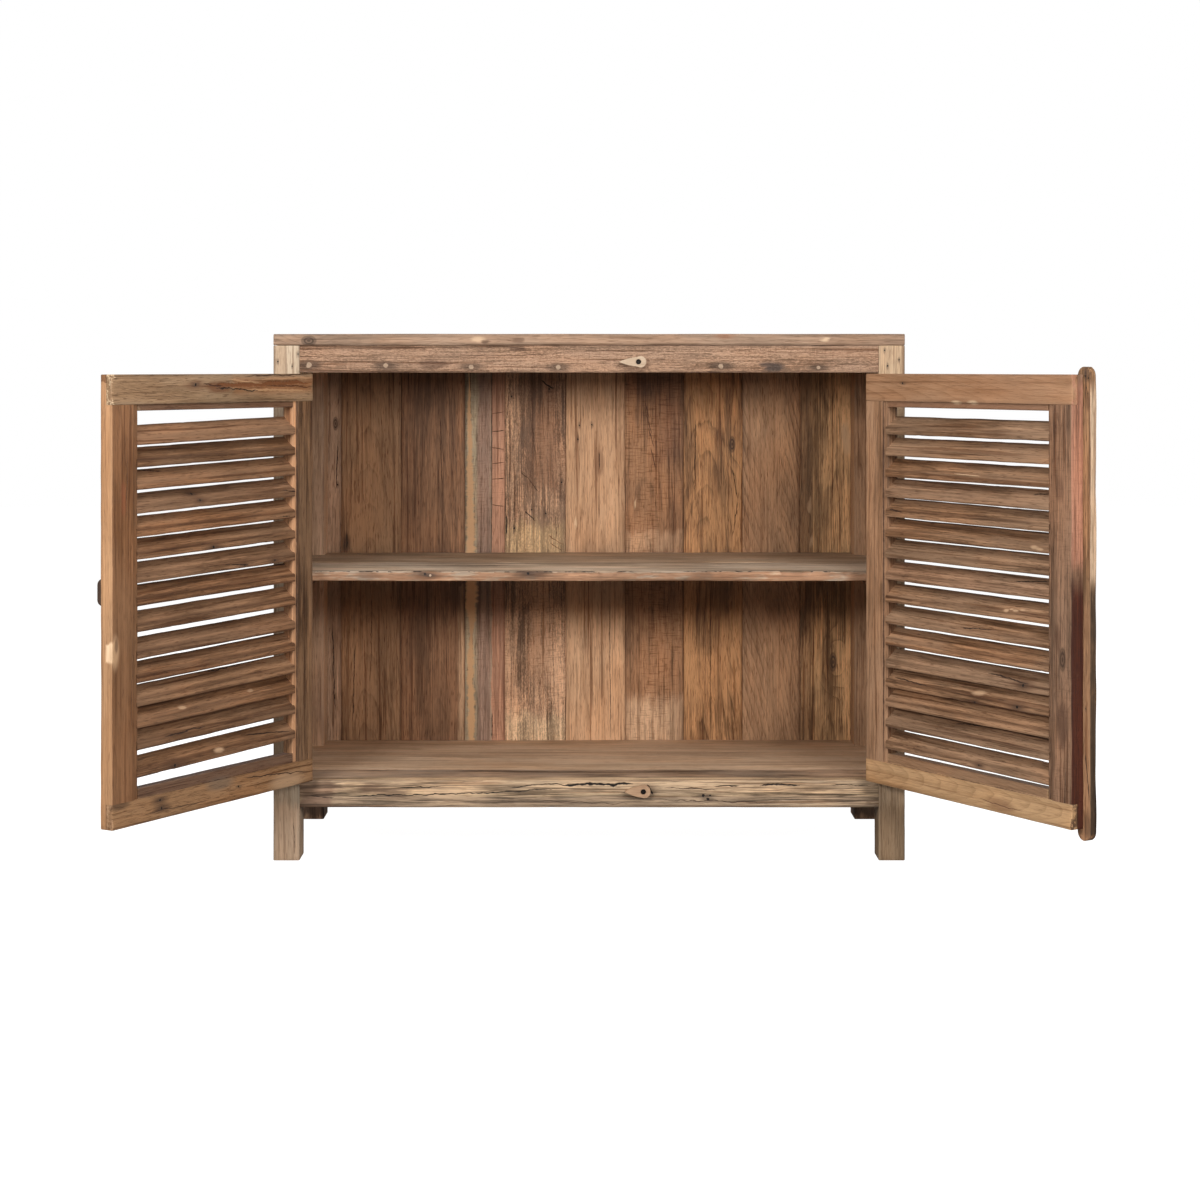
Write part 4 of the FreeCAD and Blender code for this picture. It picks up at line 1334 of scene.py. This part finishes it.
def smallWood(name, look):
    # carved piece, its grain drawn out by the stretch of the noise
    material, tree, shader = newMaterial(name)
    where = objectSpace(tree)
    fibre = noise(where, look["stretch"], 4.0, 0.65)[0]
    blend = noise(where, (60, 60, 60), 3.0)[0] * 0.8
    blend = blend.math("ADD", fibre * 1.3 - 0.55, clamp=True)
    color = mixColor(blend, linear(look["dark"]), linear(look["light"]))
    if "centre" in look:
        # painted shade: the recess round the screw is darkened
        centre = [v * mm for v in look["centre"]]
        mask = useGroup(spotGroup, where, {"Centre": centre, "Radius": 4.7 * mm})["Mask"]
        color = mixColor(mask * 0.85, color, linear((52, 36, 26)))
    feed(shader["Base Color"], color)
    feed(shader["Roughness"], 0.62)
    addBump(shader, fibre, 0.5, 0.0008)
    return material


# small parts that keep their CAD shapes: the latches' grain runs along x, the pulls' along z
alongX, alongZ = (40, 500, 500), (500, 500, 40)
pullLook = {"light": (84, 60, 44), "dark": (44, 30, 22), "stretch": alongZ}
smallLooks = {
    "top_latch": {
        "light": (196, 172, 146), "dark": (150, 124, 98), "stretch": alongX, "centre": (78, -8, 789.7),
    },
    "bottom_latch": {
        "light": (190, 154, 120), "dark": (140, 106, 80), "stretch": alongX, "centre": (85.6, -8, 110.5),
    },
    "left_pull": pullLook,
    "right_pull": pullLook,
}
steel = dullSteel("dullSteel", (0.1, 0.09, 0.085, 1), (0.32, 0.3, 0.28, 1))
blackSteel = dullSteel("blackSteel", (0.012, 0.01, 0.009, 1), (0.04, 0.034, 0.03, 1))
finishes = {node: smallWood(node + "_wood", look) for node, look in smallLooks.items()}
for node in ("hinge_post", "left_door_hinge", "right_door_hinge"):
    finishes[node + "_leaves"] = finishes[node + "_screws"] = steel
finishes["hinge_pins"] = steel
finishes["latch_screws"] = finishes["latch_washers"] = blackSteel
for node, material in finishes.items():
    materials = frame["nodes"][node].data.materials
    materials.clear()
    materials.append(material)

studio = {
    "cameraAt": (0.0, -3.5921, 0.7821), "lens": 68.06, "shift": (0.00905, -0.1945), "floorTone": 0.3,
    "floorGlow": 0.985, "worldLight": 0.08,
    "boxes": (
        {
            "name": "leftBox", "at": (-1.1, -1.7, 1.03), "aim": (0.1, 0.0, 0.5), "width": 0.75,
            "height": 0.38, "power": 27,
        },
        {
            "name": "topBox", "at": (0.0, -1.3, 2.5), "aim": (0.0, -0.1, 0.4), "width": 2.2,
            "height": 1.4, "power": 44,
        },
        {
            "name": "rearLeftBox", "at": (-2.3, 2.2, 1.5), "aim": (-0.3, 0.3, 0.4), "width": 1.4,
            "height": 1.2, "power": 34,
        },
        {
            "name": "rearRightBox", "at": (2.3, 2.2, 1.5), "aim": (0.3, 0.3, 0.4), "width": 1.4,
            "height": 1.2, "power": 34,
        },
        {
            "name": "rightBox", "at": (1.15, -1.7, 1.03), "aim": (-0.1, 0.0, 0.5), "width": 0.75,
            "height": 0.38, "power": 23,
        },
    ),
}


def makeStudio(s):
    # the floor and the surroundings look white to the camera and give a softer light to the part
    floor = bpy.data.meshes.new("studioFloor")
    floor.from_pydata([(-9, -7, 0), (9, -7, 0), (9, 9, 0), (-9, 9, 0)], [], [(0, 1, 2, 3)])
    material, tree, shader = newMaterial("paleFloor")
    feed(shader["Base Color"], (s["floorTone"],) * 3 + (1,))
    feed(shader["Roughness"], 1.0)
    feed(shader["Specular IOR Level"], 0.0)
    feed(shader["Emission Strength"], s["floorGlow"])
    feed(shader["Emission Color"], cameraRay(tree))
    floor.materials.append(material)
    addObject("studioFloor", floor)
    world = bpy.data.worlds.new("studioWorld")
    world.use_nodes = True
    sky = world.node_tree.nodes["Background"].inputs
    feed(sky[0], (1, 1, 1, 1))
    feed(sky[1], ease(cameraRay(world.node_tree), 0.0, 1.0, s["worldLight"], 1.0))
    sceneTree.world = world
    for box in s["boxes"]:
        lamp = bpy.data.lights.new(box["name"], "AREA")
        lamp.shape = "RECTANGLE"
        lamp.size, lamp.size_y, lamp.energy = box["width"], box["height"], box["power"]
        holder = addObject(box["name"], lamp)
        holder.location = box["at"]
        x, y, z = np.array(box["at"], float) - np.array(box["aim"], float)
        holder.rotation_euler = (math.atan2(math.hypot(x, y), z), 0, math.atan2(x, -y))
    lens = bpy.data.cameras.new("studioCamera")
    lens.lens, lens.sensor_width = s["lens"], 36
    lens.shift_x, lens.shift_y = s["shift"]
    camera = addObject("studioCamera", lens)
    camera.location = s["cameraAt"]
    camera.rotation_euler = (math.pi / 2, 0, 0)
    sceneTree.camera = camera
    sceneTree.view_settings.view_transform = "Standard"


makeStudio(studio)
print("studio ready")
